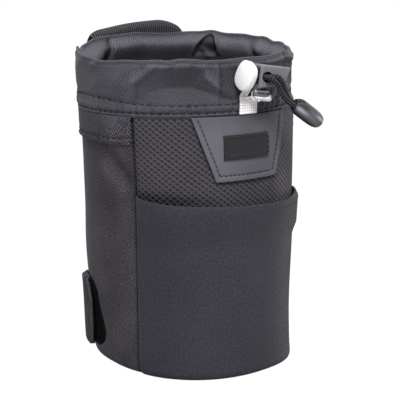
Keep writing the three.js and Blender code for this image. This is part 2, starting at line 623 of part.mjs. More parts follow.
// Ribbon tab: from the seam up the collar, over to the right and round the lock's foot bar
function ribbonTab() {
  const inner = FOOT_BAR_DIAMETER / 2 + CLEAR;
  const loop = inner + RIBBON_THICKNESS / 2;
  const foot = new THREE.Vector3(FOOT_CENTRE, 0, FOOT_AXIS).applyEuler(lock.rotation).add(lock.position);
  const flat = COLLAR_FRONT - CLEAR - RIBBON_THICKNESS / 2;
  const barOut = flat - foot.y;
  const rise = foot.z - SEAM_HEIGHT;
  const round = Array.from({ length: RIBBON_LOOP_POINTS }, (_, k) => {
    const turned = RIBBON_LOOP_START + (RIBBON_LOOP_SWEEP * k) / (RIBBON_LOOP_POINTS - 1);
    const angle = THREE.MathUtils.degToRad(turned);
    return [barOut - loop * Math.cos(angle), rise + loop * Math.sin(angle)];
  });
  const points = [...RIBBON_RISE, ...round];
  const ribbon = strip(points, STRIP_STEPS, RIBBON_WIDTH, RIBBON_THICKNESS, (across, out, up, v) => {
    const over = THREE.MathUtils.smoothstep(v, 0.02, 0.28);
    const roll = over * lock.rotation.y;
    const above = up - rise;
    const centre = THREE.MathUtils.lerp(RIBBON_FOOT_X, foot.x, over);
    const x = centre + across * Math.cos(roll) + above * Math.sin(roll);
    const curved = wallPoint(SEAM_RADIUS * Math.asin(x / SEAM_RADIUS), 0, SEAM_HEIGHT).y - COLLAR_FRONT;
    const z = foot.z - across * Math.sin(roll) + above * Math.cos(roll);
    return new THREE.Vector3(x, flat - out + curved * (1 - over), z);
  });
  add(pouch, 'anchor_ribbon', ribbon, '#e6e4e4', 0.8);
}

// Belt strap behind: sewn under its anchor at the top, closed by hook and loop at its lower end
function beltStrap() {
  const foot = CLEAR + WEBBING;
  const closedOut = 2 * TAPE_THICKNESS + 3 * CLEAR + WEBBING / 2;
  const place = (across, out, up) => new THREE.Vector3(across, BACK_DEPTH + out, up);
  const points = Array.from({ length: STRIP_STEPS }, (_, k) => {
    const up = THREE.MathUtils.lerp(STRAP_TOP, STRAP_BOTTOM, k / (STRIP_STEPS - 1));
    const lift = 1 - THREE.MathUtils.smoothstep(up, TUNNEL_TOP, STRAP_TOP);
    const settle = 1 - THREE.MathUtils.smoothstep(up, TUNNEL_BOTTOM - STRAP_RAMP, TUNNEL_BOTTOM);
    const tunnelOut = THREE.MathUtils.lerp(foot, STRAP_STANDOFF, lift);
    return [THREE.MathUtils.lerp(tunnelOut, closedOut, settle), up];
  });
  add(pouch, 'belt_strap', strip(points, STRIP_STEPS, STRAP_WIDTH, WEBBING, place), BLACK, 0.85);

  const tapeTop = TUNNEL_BOTTOM - STRAP_RAMP;
  const patch = (inner) => bent([1, 1, 1], (u, v, w) => place((u - 0.5) * TAPE_WIDTH,
    inner + w * TAPE_THICKNESS, tapeTop - v * TAPE_HEIGHT));
  add(pouch, 'loop_patch', patch(CLEAR), BLACK, 0.98);
  add(pouch, 'hook_patch', patch(2 * CLEAR + TAPE_THICKNESS), '#242428', 0.98);
  const anchorFoot = STRAP_TOP + WEBBING / 2 + CLEAR;
  const anchor = bent([1, 1, 1], (u, v, w) => place((u - 0.5) * STRAP_WIDTH,
    CLEAR + w * WEBBING, anchorFoot + v * ANCHOR_HEIGHT));
  add(pouch, 'strap_anchor', anchor, BLACK, 0.85);
}

// Grab loop: webbing doubled over above the rim behind the collar
function grabLoop() {
  const inner = CLEAR + WEBBING / 2;
  const outer = inner + WEBBING + GRAB_LOOP_GAP;
  const middle = (inner + outer) / 2;
  const round = (outer - inner) / 2;
  const shoulder = GRAB_LOOP_TOP - WEBBING / 2 - round;
  const top = Array.from({ length: LOOP_POINTS }, (_, k) => {
    const angle = Math.PI * (1 - k / (LOOP_POINTS - 1));
    return [middle + round * Math.cos(angle), shoulder + round * Math.sin(angle)];
  });
  const rampTop = GRAB_LOOP_FOOT + GRAB_LOOP_RAMP;
  const sewnOut = inner + WEBBING + CLEAR;
  const ramp = Array.from({ length: LOOP_POINTS }, (_, k) => {
    const share = k / (LOOP_POINTS - 1);
    const out = THREE.MathUtils.lerp(outer, sewnOut, THREE.MathUtils.smoothstep(share, 0, 1));
    return [out, rampTop - GRAB_LOOP_RAMP * share];
  });
  const points = [[inner, GRAB_LOOP_FOOT], [inner, rampTop], ...top, ...ramp];
  const loop = strip(points, 2 * STRIP_STEPS, GRAB_LOOP_WIDTH, WEBBING, (across, out, up) => {
    const share = THREE.MathUtils.smoothstep(up, rampTop, GRAB_LOOP_TOP);
    const drop = GRAB_LOOP_ARCH * share * ((2 * across) / GRAB_LOOP_WIDTH) ** 2;
    return new THREE.Vector3(across, BACK_DEPTH + out, up - drop);
  });
  add(pouch, 'grab_loop', loop, BLACK, 0.85);
}

// Side loops: webbing sewn to the side panels at top and bottom, standing off towards the bottom
function sideLoops() {
  const sewn = CLEAR + WEBBING / 2;
  const ramp = Array.from({ length: LOOP_POINTS }, (_, k) => {
    const share = k / (LOOP_POINTS - 1);
    const lift = THREE.MathUtils.smoothstep(share, 0, 1);
    return [THREE.MathUtils.lerp(sewn, SIDE_LOOP_STANDOFF, lift), SIDE_LOOP_TOP - SIDE_LOOP_RAMP * share];
  });
  const turn = Array.from({ length: LOOP_POINTS }, (_, k) => {
    const angle = ((Math.PI / 2) * k) / (LOOP_POINTS - 1);
    const out = THREE.MathUtils.lerp(CLEAR, SIDE_LOOP_STANDOFF, Math.cos(angle));
    return [out, SIDE_LOOP_BOTTOM + SIDE_LOOP_TURN * (1 - Math.sin(angle))];
  });
  const points = [...ramp, ...turn];
  const distance = SEAM_RADIUS * THREE.MathUtils.degToRad(SIDE_LOOP_ANGLE);
  for (const [name, side] of [['left', -1], ['right', 1]]) {
    const loop = strip(points, STRIP_STEPS, SIDE_LOOP_WIDTH, WEBBING, (across, out, up) => {
      const seat = wallPoint(side * distance, 0, up);
      const outward = wallPoint(side * distance, 1, up).sub(seat).setZ(0).normalize();
      const along = new THREE.Vector3(-outward.y, outward.x, 0);
      return seat.addScaledVector(outward, out).addScaledVector(along, across);
    });
    add(pouch, `side_loop_${name}`, loop, BLACK, 0.85);
  }
}

base();
wall();
pocket();
badge();
collar();
drawcordRun();
lockBarrel();
lockButton();
lockSpring();
drawcordTails();
cordEnd();
ribbonTab();
beltStrap();
grabLoop();
sideLoops();
pouch.add(lock);

export default pouch;
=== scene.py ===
"""Cloth, mesh, webbing, cord and moulded pieces of a padded lens pouch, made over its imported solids.

Lengths are millimetres until a mesh is made; a mesh is in metres, in the frame of the solids.
In formulas d is the distance round the wall from the front centre, to the right, and z is the height.
"""

import math

import bmesh
import bpy
import numpy as np
from bpy.props import FloatProperty, FloatVectorProperty, PointerProperty
from mathutils import Matrix


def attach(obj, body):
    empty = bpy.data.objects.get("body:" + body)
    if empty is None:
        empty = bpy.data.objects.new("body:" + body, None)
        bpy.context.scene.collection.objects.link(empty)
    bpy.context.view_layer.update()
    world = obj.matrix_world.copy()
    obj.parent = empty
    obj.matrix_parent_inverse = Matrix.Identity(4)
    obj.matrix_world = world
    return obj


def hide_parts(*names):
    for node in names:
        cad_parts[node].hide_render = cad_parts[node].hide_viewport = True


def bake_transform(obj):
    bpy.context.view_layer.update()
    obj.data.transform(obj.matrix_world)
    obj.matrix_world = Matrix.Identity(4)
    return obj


bl_info = {
    "name": "Lens Pouch",
    "version": (1, 0, 0),
    "blender": (4, 2, 0),
    "location": "View3D > Sidebar > Pouch",
    "description": "Makes the sewn, woven and moulded pieces of a padded lens pouch",
    "category": "Object",
}

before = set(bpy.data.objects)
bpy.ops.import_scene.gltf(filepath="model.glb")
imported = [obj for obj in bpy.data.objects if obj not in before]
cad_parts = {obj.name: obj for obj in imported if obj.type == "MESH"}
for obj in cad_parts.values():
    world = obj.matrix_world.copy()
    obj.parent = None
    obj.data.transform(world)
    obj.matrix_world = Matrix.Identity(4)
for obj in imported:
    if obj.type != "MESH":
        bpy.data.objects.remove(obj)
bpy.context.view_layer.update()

MM = 0.001
BLACK = (0.0, 0.0, 0.0, 1.0)

# Wall plan and heights
SEAM_RADIUS = 52.5
BACK_DEPTH = 46.0
BACK_CORNER = 22.0
SEAM_FRONT_DEPTH = 50.5
BASE_FRONT_DEPTH = 53.0
BASE_HALF_WIDTH = 48.8
BASE_EDGE = 5.0
SEAM_HEIGHT = 125.0
CORNER_Y = BACK_DEPTH - BACK_CORNER
CORNER_X = math.sqrt((SEAM_RADIUS - BACK_CORNER) ** 2 - CORNER_Y**2)
ROUND_ANGLE = math.pi - math.atan2(CORNER_X, CORNER_Y)
ROUND_LENGTH = SEAM_RADIUS * ROUND_ANGLE
CORNER_LENGTH = BACK_CORNER * (math.pi - ROUND_ANGLE)
HALF_GIRTH = ROUND_LENGTH + CORNER_LENGTH + CORNER_X

# Panels
CLOTH_THICKNESS = 0.9
FRONT_SEAM = 55.4
FRONT_SEAM_SPREAD = 4.2
BACK_SEAM = HALF_GIRTH - 26.0
PANEL_FOOT = 0.3
PANEL_TOP = 124.9
YOKE_FOOT = 111.5
BAND_TOP = 132.5
POCKET_HEIGHT = 84.0

# Badge and label
BADGE_TOP = 124.7
BADGE_HEIGHT = 29.5
BADGE_HALF_TOP = 25.2
BADGE_HALF_BOTTOM = 16.65
LABEL_MIDDLE = 111.0
LABEL_HALF_WIDTH = 11.5
LABEL_HALF_HEIGHT = 5.5

# Patch round the cord's exit, by its edges
PATCH_LEFT = -14.6
PATCH_RIGHT = 10.5
PATCH_FOOT = 132.4
PATCH_TOP = 148.6

# Webbing: spans of height, widths and distances of its middle from the back
WEB_THICKNESS = 1.5
STRAP_WIDTH = 57.0
STRAP_SPAN = (118.0, 34.0)
STRAP_OUT_SEWN = 1.8
STRAP_OUT_BELT = 6.3
STRAP_OUT_TAPE = 3.25
ANCHOR_SPAN = (119.1, 124.1)
ANCHOR_OUT = 1.05
TAPE_WIDTH = 50.0
TAPE_SPAN = (57.0, 37.0)
GRAB_LEFT = -27.0
GRAB_RIGHT = 28.0
GRAB_TOP = 162.25
SIDE_LOOP_SPAN = (6.6, 41.9)
SIDE_LOOP_BACK = 107.5
PILE_SPAN = (6.8, 42.0)
PILE_BACK = 106.0

# Drawcord, from the exit hole in the collar
CORD_DIAMETER = 2.4
CORD_SPACING = 2.7
EXIT = np.array([2.1, -50.5, 142.2])
TAIL_ROUTE = np.array([
    [0, -1.9, 0], [0, -4.5, 0], [0, -8, 0], [0, -11.7, 0], [0.4, -14.1, 0], [1.8, -15.9, -0.6],
    [3.3, -16.7, -2.6], [4.5, -16.8, -5.2], [6.1, -16.8, -7.9], [8.2, -16.8, -10.45], [10.9, -16.8, -12.3],
])
TAIL_SIDEWAYS = np.array([
    [1, 0, -0.16], [1, 0, -0.16], [1, 0, -0.16], [1, 0, -0.16], [0.9, 0.42, 0.1], [0.75, 0.15, 0.55],
    [0.8, 0.1, 0.55], [0.9, 0.2, 0.4], [0.75, 0.5, 0.45], [0.5, 0.75, 0.5], [0.35, 0.8, 0.5],
])

# Cord lock: its middle and its turn about Y
LOCK_AT = np.array([6.94, -58.1, 141.43])
LOCK_ROLL = math.radians(9)
LOCK_TURN = np.array([
    [math.cos(LOCK_ROLL), 0, math.sin(LOCK_ROLL)],
    [0, 1, 0],
    [-math.sin(LOCK_ROLL), 0, math.cos(LOCK_ROLL)],
])

# Camera, from the photograph's outline
CAMERA_AT = (-0.25867, -0.41171, 0.18655)
CAMERA_AZIMUTH = math.radians(-32.14)
CAMERA_ELEVATION = math.radians(13.48)
CAMERA_ROLL = math.radians(-0.89)
CAMERA_LENS = 89.55
CAMERA_SHIFT = (0.02715, 0.03026)

# Lamps: name, place, size and power; all point at the pouch's middle
LAMP_AIM = np.array([0.0, 0.0, 0.09])
LAMPS = (
    ("key_light", (-0.45, -0.9, 1.05), 0.5, 23.5),
    ("left_light", (-1.15, 0.1, 0.45), 0.6, 0.7),
    ("right_light", (1.15, 0.05, 0.45), 0.6, 2.3),
    ("top_light", (0.0, 0.25, 1.3), 0.5, 13.0),
)


def colour(name, about, value):
    """A colour property with its default."""
    return FloatVectorProperty(
        name=name, description=about, subtype="COLOR", size=3, min=0.0, max=1.0, default=value
    )


def length(name, about, value):
    """A length property in metres with its default."""
    return FloatProperty(name=name, description=about, unit="LENGTH", precision=5, min=0.0, default=value)


class PouchColours(bpy.types.PropertyGroup):
    """Colours of the pouch's materials."""

    side_cloth: colour("Side cloth", "Twill of the sides, back and base", (0.044, 0.040, 0.049))
    collar_cloth: colour("Collar cloth", "Twill of the collar", (0.052, 0.050, 0.062))
    mesh: colour("Air mesh", "Mesh of the front", (0.056, 0.0515, 0.0615))
    knit: colour("Stretch knit", "Knit of the pocket", (0.038, 0.037, 0.0465))
    lining: colour("Lining", "Cloth inside the pouch", (0.026, 0.025, 0.031))
    badge: colour("Badge", "Coated panel under the collar", (0.085, 0.0825, 0.0975))
    label: colour("Label", "Patch on the badge", (0.013, 0.013, 0.016))
    webbing: colour("Webbing", "Woven straps and loops", (0.0432, 0.0396, 0.0469))
    cord: colour("Cord", "Braided drawcord", (0.022, 0.021, 0.025))
    moulding: colour("Dark moulding", "Cord lock barrel", (0.116, 0.114, 0.124))
    button: colour("Button", "Cord lock button", (0.860, 0.865, 0.880))
    ribbon: colour("Ribbon", "Ribbon that holds the cord lock", (0.800, 0.775, 0.785))
    thread: colour("Thread", "Sewing thread", (0.014, 0.014, 0.016))


class PouchSewing(bpy.types.PropertyGroup):
    """Sizes of the pouch's sewing and folds."""

    stitch: length("Stitch", "Length of one stitch", 0.0026)
    stitch_gap: length("Stitch gap", "Gap between two stitches", 0.0010)
    thread: length("Thread", "Diameter of the thread", 0.0006)
    crease: length("Crease", "Depth of the collar's sharpest crease", 0.0014)
    flare: length("Pocket flare", "How far the pocket's mouth stands open", 0.0034)


def smooth(low, high, x):
    """Smooth step from 0 at low to 1 at high: 3t² - 2t³."""
    t = np.clip((x - low) / (high - low), 0, 1)
    return t * t * (3 - 2 * t)


def bell(x, middle, width):
    """Bell of height 1 about a middle: e to the minus square of the distance over the width."""
    return np.exp(-(((x - middle) / width) ** 2))


def bells(x, places):
    """Sum of bells, each given by its middle, width and height."""
    return sum(height * bell(x, middle, width) for middle, width, height in places)


def plateau(x, middle, width):
    """Bell with a flat top: e to the minus fourth power of the distance over the width."""
    return np.exp(-(((x - middle) / width) ** 4))


def unit(vectors):
    """Vectors of length 1."""
    return vectors / np.maximum(np.linalg.norm(vectors, axis=-1, keepdims=True), 1e-12)


def square_to(vectors, along):
    """Unit vectors without their share along unit directions."""
    return unit(vectors - along * np.sum(vectors * along, -1, keepdims=True))


def spread(*ranges):
    """Grid of two parameters: rows of the first, columns of the second."""
    return np.meshgrid(*ranges, indexing="ij")


def ease(low, high, count, fine=0.5):
    """Values from low to high that lie closer together at both ends."""
    t = np.linspace(0, 1, count)
    return low + (high - low) * (t - fine * np.sin(2 * np.pi * t) / (2 * np.pi))


def run_along(line):
    """Length along a line of points, from 0 at its start."""
    return np.concatenate([[0], np.cumsum(np.linalg.norm(np.diff(line, axis=0), axis=1))])


def points_at(line, run, places):
    """Points of a line at given lengths along it."""
    return np.stack([np.interp(places, run, line[:, c]) for c in range(line.shape[1])], -1)


def curve_through(points, count):
    """Smooth line through points: a cubic with the slopes of its neighbours, resampled at equal lengths."""
    points = np.asarray(points, float)
    slope = np.gradient(points, axis=0)
    t = np.linspace(0, len(points) - 1, 24 * len(points))
    k = np.minimum(t.astype(int), len(points) - 2)
    s = (t - k)[:, None]
    ends = points[k] * (2 * s**3 - 3 * s**2 + 1) + points[k + 1] * (3 * s**2 - 2 * s**3)
    line = ends + slope[k] * (s**3 - 2 * s**2 + s) + slope[k + 1] * (s**3 - s**2)
    run = run_along(line)
    return points_at(line, run, np.linspace(0, run[-1], count))


def plan_point(distance, offset):
    """Plan of the wall at a distance from the front centre: round front, two corner arcs, flat back."""
    side = np.where(distance < 0, -1.0, 1.0)
    run = np.abs(distance)
    front = run / SEAM_RADIUS
    corner = ROUND_ANGLE + (run - ROUND_LENGTH) / BACK_CORNER
    on_front = run <= ROUND_LENGTH
    on_back = run > ROUND_LENGTH + CORNER_LENGTH
    x = np.where(
        on_front,
        (SEAM_RADIUS + offset) * np.sin(front),
        np.where(on_back, HALF_GIRTH - run, CORNER_X + (BACK_CORNER + offset) * np.sin(corner)),
    )
    y = np.where(
        on_front,
        -(SEAM_RADIUS + offset) * np.cos(front),
        np.where(on_back, BACK_DEPTH + offset, CORNER_Y - (BACK_CORNER + offset) * np.cos(corner)),
    )
    return side * x, y


def wall_point(distance, offset, height):
    """Point on the wall: the plan, narrowed towards the base and turned under below, tightest at the lower
    right and widest at the lower left."""
    places = np.broadcast_arrays(distance, offset, height)
    distance, offset, height = (np.asarray(place, float) for place in places)
    edge = BASE_EDGE * (1 - 0.72 * bell(distance, 38.0, 24.0) + 0.35 * bell(distance, -84.0, 14.0))
    below = np.clip(edge - height, 0, edge)
    x, y = plan_point(distance, offset - edge + np.sqrt(edge**2 - below**2))
    rise = np.clip(height / SEAM_HEIGHT, 0, 1)
    width = BASE_HALF_WIDTH + (SEAM_RADIUS - BASE_HALF_WIDTH) * rise
    depth = BASE_FRONT_DEPTH + (SEAM_FRONT_DEPTH - BASE_FRONT_DEPTH) * rise
    return np.stack([x * width / SEAM_RADIUS, np.where(y < 0, y * depth / SEAM_RADIUS, y), height], -1)


def wall_outward(distance, height):
    """Unit vector square to the wall."""
    return unit(wall_point(distance, 1.0, height) - wall_point(distance, 0.0, height))


def lock_point(local):
    """Place of a point given along the cord lock's own axes."""
    return local @ LOCK_TURN.T + LOCK_AT


def linked(name, data):
    """Object of a mesh, camera or lamp, put into the scene."""
    made = bpy.data.objects.new(name, data)
    bpy.context.scene.collection.objects.link(made)
    return made


def surface(name, points, uv, finish, closed=(False, False), keep=None):
    """Mesh of a grid of points: one quad for each cell, with the grid's own lengths as its UV map."""
    rows, columns = points.shape[:2]
    index = np.arange(rows * columns).reshape(rows, columns)
    if closed[0]:
        index = np.concatenate([index, index[:1]], 0)
    if closed[1]:
        index = np.concatenate([index, index[:, :1]], 1)
    corner = np.arange(index.size).reshape(index.shape)
    faces, corners = (
        np.stack([g[:-1, :-1], g[1:, :-1], g[1:, 1:], g[:-1, 1:]], -1).reshape(-1, 4)
        for g in (index, corner)
    )
    if keep is not None:
        faces, corners = (quads[keep.reshape(-1)] for quads in (faces, corners))
    mesh = bpy.data.meshes.new(name)
    mesh.vertices.add(rows * columns)
    mesh.vertices.foreach_set("co", (points * MM).astype(np.float32).ravel())
    mesh.loops.add(faces.size)
    mesh.loops.foreach_set("vertex_index", faces.astype(np.int32).ravel())
    mesh.polygons.add(len(faces))
    mesh.polygons.foreach_set("loop_start", (4 * np.arange(len(faces))).astype(np.int32))
    mesh.polygons.foreach_set("use_smooth", np.ones(len(faces), bool))
    layer = mesh.uv_layers.new(name="cloth")
    layer.uv.foreach_set("vector", uv.reshape(-1, 2)[corners.ravel()].astype(np.float32).ravel())
    mesh.update(calc_edges=True)
    mesh.validate()
    mesh.materials.append(finish)
    return linked(name, mesh)


def mend(piece, merge=0.0, fill=False):
    """Merges points nearer than a distance in metres, fills open ends or else drops empty cells, and turns
    all faces outwards."""
    work = bmesh.new()
    work.from_mesh(piece.data)
    if merge:
        bmesh.ops.remove_doubles(work, verts=work.verts, dist=merge)
    if fill:
        bmesh.ops.holes_fill(work, edges=[edge for edge in work.edges if edge.is_boundary], sides=0)
    else:
        bmesh.ops.dissolve_degenerate(work, edges=work.edges, dist=1e-7)
    bmesh.ops.recalc_face_normals(work, faces=work.faces)
    work.to_mesh(piece.data)
    work.free()
    return piece


def weld(piece):
    """Closes a surface at its seams and poles."""
    return mend(piece, merge=2e-6)


def thicken(piece, thickness, offset=-1.0):
    """Gives a cloth its thickness, inwards from its outer face."""
    solid = piece.modifiers.new("thickness", "SOLIDIFY")
    solid.thickness = thickness * MM
    solid.offset = offset
    solid.use_even_offset = False
    return piece


def paint_shade_and_light(piece, shade):
    """Stores painted shade for each point of a piece, for its finish to put into its colour: darker in its
    folds, and painted light where it is below 0.
    """
    layer = piece.data.attributes.new("shade", "FLOAT", "POINT")
    layer.data.foreach_set("value", np.asarray(shade, np.float32).ravel())
    return piece


def mesh_points(piece):
    """Points of a piece's mesh, in millimetres."""
    points = np.empty(3 * len(piece.data.vertices))
    piece.data.vertices.foreach_get("co", points)
    return points.reshape(-1, 3) / MM


def settle(piece, body, slot, *nodes):
    """Puts a piece on its body and hides the solids that it stands for."""
    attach(piece, body)
    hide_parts(*nodes)
    return piece


def flat_size(flat):
    """Width and length of a cloth from its flat lengths, in metres."""
    flat = flat.reshape(-1, 2)
    return tuple(float(v) for v in (flat.max(0) - flat.min(0)) * MM)


def tube(name, path, sideways, radius, sides, finish):
    """Tube along a path: rings of a radius in the plane of the sideways vector and the one square to it."""
    along = unit(np.gradient(path, axis=0))
    across = square_to(np.broadcast_to(sideways, path.shape), along)
    up = np.cross(along, across)
    radius = np.concatenate([[1e-5], np.broadcast_to(radius, len(path)), [1e-5]])
    path, across, up = (np.concatenate([v[:1], v, v[-1:]]) for v in (path, across, up))
    angle = np.linspace(0, 2 * np.pi, sides, endpoint=False)[None, :, None]
    ring = across[:, None] * np.cos(angle) + up[:, None] * np.sin(angle)
    points = path[:, None] + radius[:, None, None] * ring
    round_about = np.linspace(0, 2 * np.pi * radius.max(), sides + 1)
    uv = np.stack(spread(run_along(path), round_about)[::-1], -1)
    return weld(surface(name, points, uv, finish, closed=(False, True)))


def strap(name, path, side, normal, width, thickness, finish, columns=24):
    """Woven strap: a flat section with round edges, carried along a path by its side and normal vectors; its
    width is one number or one for each point."""
    half = thickness / 2
    flat = np.linspace(-1, 1, columns)
    bend = np.linspace(np.pi / 2, -np.pi / 2, 7)[1:-1]
    level = np.full(columns, half)
    a = np.concatenate([flat, np.ones(5), flat[::-1], -np.ones(5)])
    rim = np.concatenate([0 * flat, half * np.cos(bend), 0 * flat, -half * np.cos(bend)])
    b = np.concatenate([level, half * np.sin(bend), -level, half * np.sin(bend[::-1])])
    reach = (np.broadcast_to(width, len(path)) / 2 - half)[:, None]
    shrink = np.ones((len(path), 1))
    shrink[[0, -1]] = 0.02
    across = reach * a + rim * shrink
    lift = b * shrink
    points = path[:, None] + side[:, None] * across[..., None] + normal[:, None] * lift[..., None]
    closing = np.concatenate([across, across[:, :1]], 1)
    uv = np.stack([closing, np.broadcast_to(run_along(path)[:, None], closing.shape)], -1)
    return mend(surface(name, points, uv, finish, closed=(False, True)), fill=True)


def stitches(name, starts, ends, outward, finish, thread, rise=0.35):
    """Row of stitches: each a short tube that rises in a low arch, 4t(1 - t), and tapers into the cloth."""
    t = np.linspace(0, 1, 6)[None, :, None]
    arch = 4 * t * (1 - t)
    middle = starts[:, None] + (ends - starts)[:, None] * t + outward[:, None] * (rise * arch - 0.12)
    across = unit(np.cross(outward, unit(ends - starts)))
    angle = np.linspace(0, 2 * np.pi, 6, endpoint=False)[None, None, :, None]
    girth = (thread / 2) * (0.35 + 0.65 * np.sqrt(arch))[..., None]
    ring = across[:, None, None] * np.cos(angle) + outward[:, None, None] * np.sin(angle)
    points = middle[:, :, None] + girth * ring
    count, rows, sides = points.shape[:3]
    first = np.arange(count)[:, None, None] * rows * sides
    k, j = spread(np.arange(rows - 1) * sides, np.arange(sides))
    beside = (j + 1) % sides
    cells = np.stack([k + j, k + beside, k + sides + beside, k + sides + j], -1)
    faces = (first + cells.reshape(1, -1, 4)).reshape(-1, 4)
    mesh = bpy.data.meshes.new(name)
    mesh.from_pydata((points.reshape(-1, 3) * MM).tolist(), [], faces.tolist())
    mesh.polygons.foreach_set("use_smooth", np.ones(len(faces), bool))
    mesh.materials.append(finish)
    return mend(linked(name, mesh), fill=True)


def stitch_ends(line, sewing, fine):
    """Starts and ends of stitches laid along a line of points at the sewing pitch times a share."""
    run = run_along(line)
    stitch = fine * sewing.stitch / MM
    gap = fine * sewing.stitch_gap / MM
    count = max(1, int((run[-1] + gap) / (stitch + gap)))
    start = np.arange(count) * (stitch + gap)
    return points_at(line, run, start), points_at(line, run, start + stitch)


class Value:
    """A shader socket in an expression: sums and products of sockets and numbers add Math nodes."""

    def __init__(self, nodes, socket):
        self.nodes = nodes
        self.socket = socket

    def math(self, operation, *inputs):
        """Adds a Math node."""
        return self.nodes.node("ShaderNodeMath", {"operation": operation}, dict(enumerate(inputs)))

    def __add__(self, other):
        return self.math("ADD", self, other)

    def __sub__(self, other):
        return self.math("SUBTRACT", self, other)

    def __rsub__(self, other):
        return self.math("SUBTRACT", other, self)

    def __mul__(self, other):
        return self.math("MULTIPLY", self, other)

    def __truediv__(self, other):
        return self.math("DIVIDE", self, other)

    __radd__ = __add__
    __rmul__ = __mul__

    def most(self, other):
        """The greater of two values."""
        return self.math("MAXIMUM", self, other)

    def wave(self, pitch):
        """Sine of the value, from 0 to 1, that repeats at a pitch."""
        return self.math("SINE", self * (2 * math.pi / pitch)) * 0.5 + 0.5

    def step(self, low, high):
        """Smooth step of the value from 0 at low to 1 at high."""
        settings = {"interpolation_type": "SMOOTHSTEP"}
        return self.nodes.node("ShaderNodeMapRange", settings, {0: self, 1: low, 2: high})


class Nodes:
    """The node tree of a material or a world, to which nodes are added one by one."""

    def __init__(self, owner):
        owner.use_nodes = True
        self.tree = owner.node_tree

    def node(self, kind, settings=None, inputs=None, output=0):
        """Adds a node of a type with its settings and the values or links of its sockets."""
        made = self.tree.nodes.new(kind)
        for key, value in (settings or {}).items():
            setattr(made, key, value)
        for key, value in (inputs or {}).items():
            if isinstance(value, Value):
                self.tree.links.new(value.socket, made.inputs[key])
            else:
                made.inputs[key].default_value = value
        return Value(self, made.outputs[output])

    def ray(self, kind):
        """1 where a ray is of a kind, such as Camera, and 0 elsewhere."""
        return self.node("ShaderNodeLightPath", None, None, f"Is {kind} Ray")

    def feed(self, value, node, socket):
        """Links a value to a socket of a node that the tree already has."""
        self.tree.links.new(value.socket, self.tree.nodes[node].inputs[socket])


class Finish(Nodes):
    """A material whose nodes are added to its Principled shader."""

    def __init__(self, name, **constants):
        self.material = bpy.data.materials.new(name)
        super().__init__(self.material)
        self.shader = self.tree.nodes["Principled BSDF"]
        for socket, value in constants.items():
            self.shader.inputs[socket.replace("_", " ").title().replace("Ior", "IOR")].default_value = value

    def cloth(self):
        """The piece's own lengths across and along, in millimetres, and both as one vector."""
        both = self.node("ShaderNodeUVMap", {"uv_map": "cloth"})
        across = self.node("ShaderNodeSeparateXYZ", None, {0: both})
        along = self.node("ShaderNodeSeparateXYZ", None, {0: both}, 1)
        return across, along, both

    def place(self):
        """Object coordinates, in metres."""
        return self.node("ShaderNodeTexCoord", None, None, 3)

    def noise(self, vector, scale, detail):
        """Noise about 0.5 at a scale, with finer layers by its detail."""
        return self.node("ShaderNodeTexNoise", None, {"Vector": vector, "Scale": scale, "Detail": detail})

    def blend(self, first, second, factor, clamp=True):
        """Mixes two colours."""
        settings = {"data_type": "RGBA", "clamp_factor": clamp}
        return self.node("ShaderNodeMix", settings, {0: factor, 6: first, 7: second}, 2)

    def shade(self, base, low, high, factor):
        """Mixes a darker and a lighter tone of a colour."""
        return self.blend(tone(base, low), tone(base, high), factor)

    def with_painted_shade(self, colour):
        """Darkens a colour by the piece's own painted shade, if it has one, and lightens it by painted light
            where that is below 0.
        """
        shade = self.node("ShaderNodeAttribute", {"attribute_name": "shade"}, None, 2)
        return self.blend(colour, BLACK, shade, clamp=False)

    def made(self, tint, rough, height, depth):
        """The material with a colour and a roughness, raised by a height of 0 to 1 times a depth in
        millimetres."""
        inputs = {"Strength": 1.0, "Distance": depth * MM, "Height": height}
        bump = self.node("ShaderNodeBump", None, inputs)
        for value, socket in ((tint, "Base Color"), (rough, "Roughness"), (bump, "Normal")):
            self.feed(value, self.shader.name, socket)
        return self.material


def times(base, share):
    """A colour times a share."""
    return tuple(share * c for c in base)


def tone(base, share):
    """A colour times a share, no lighter than white, with its alpha."""
    return (*(min(1.0, c) for c in times(base, share)), 1.0)


def twill(name, base, pitch, lean, depth, rough=0.66, sheen=0.02, shine=0.06, ribs=1.3, specks=2.8):
    """Twill: two families of slanted ribs, one bolder by its lean, that cross at a pitch across and along,
    with specks and fading, and with the piece's painted shade and light in its colour."""
    finish = Finish(name, sheen_weight=sheen, sheen_roughness=0.45, specular_ior_level=shine)
    across, along, both = finish.cloth()
    one = (across / pitch[0] + along / pitch[1]).wave(1.0)
    two = (across / pitch[0] - along / pitch[1]).wave(1.0)
    speck = finish.noise(both, 1.2, 4)
    fade = finish.noise(both, 0.05, 3)
    height = one * (0.5 + lean) + two * (0.5 - lean)
    mixed = (height - 0.5) * ribs + (speck - 0.5) * specks + (fade - 0.5) * 0.7 + 0.45
    tint = finish.with_painted_shade(finish.shade(base, 0.1, 2.05, mixed))
    raised = height * (0.5 * ribs) + speck * (0.3 * specks)
    return finish.made(tint, rough + (fade - 0.5) * 0.3 - height * 0.1, raised, depth)


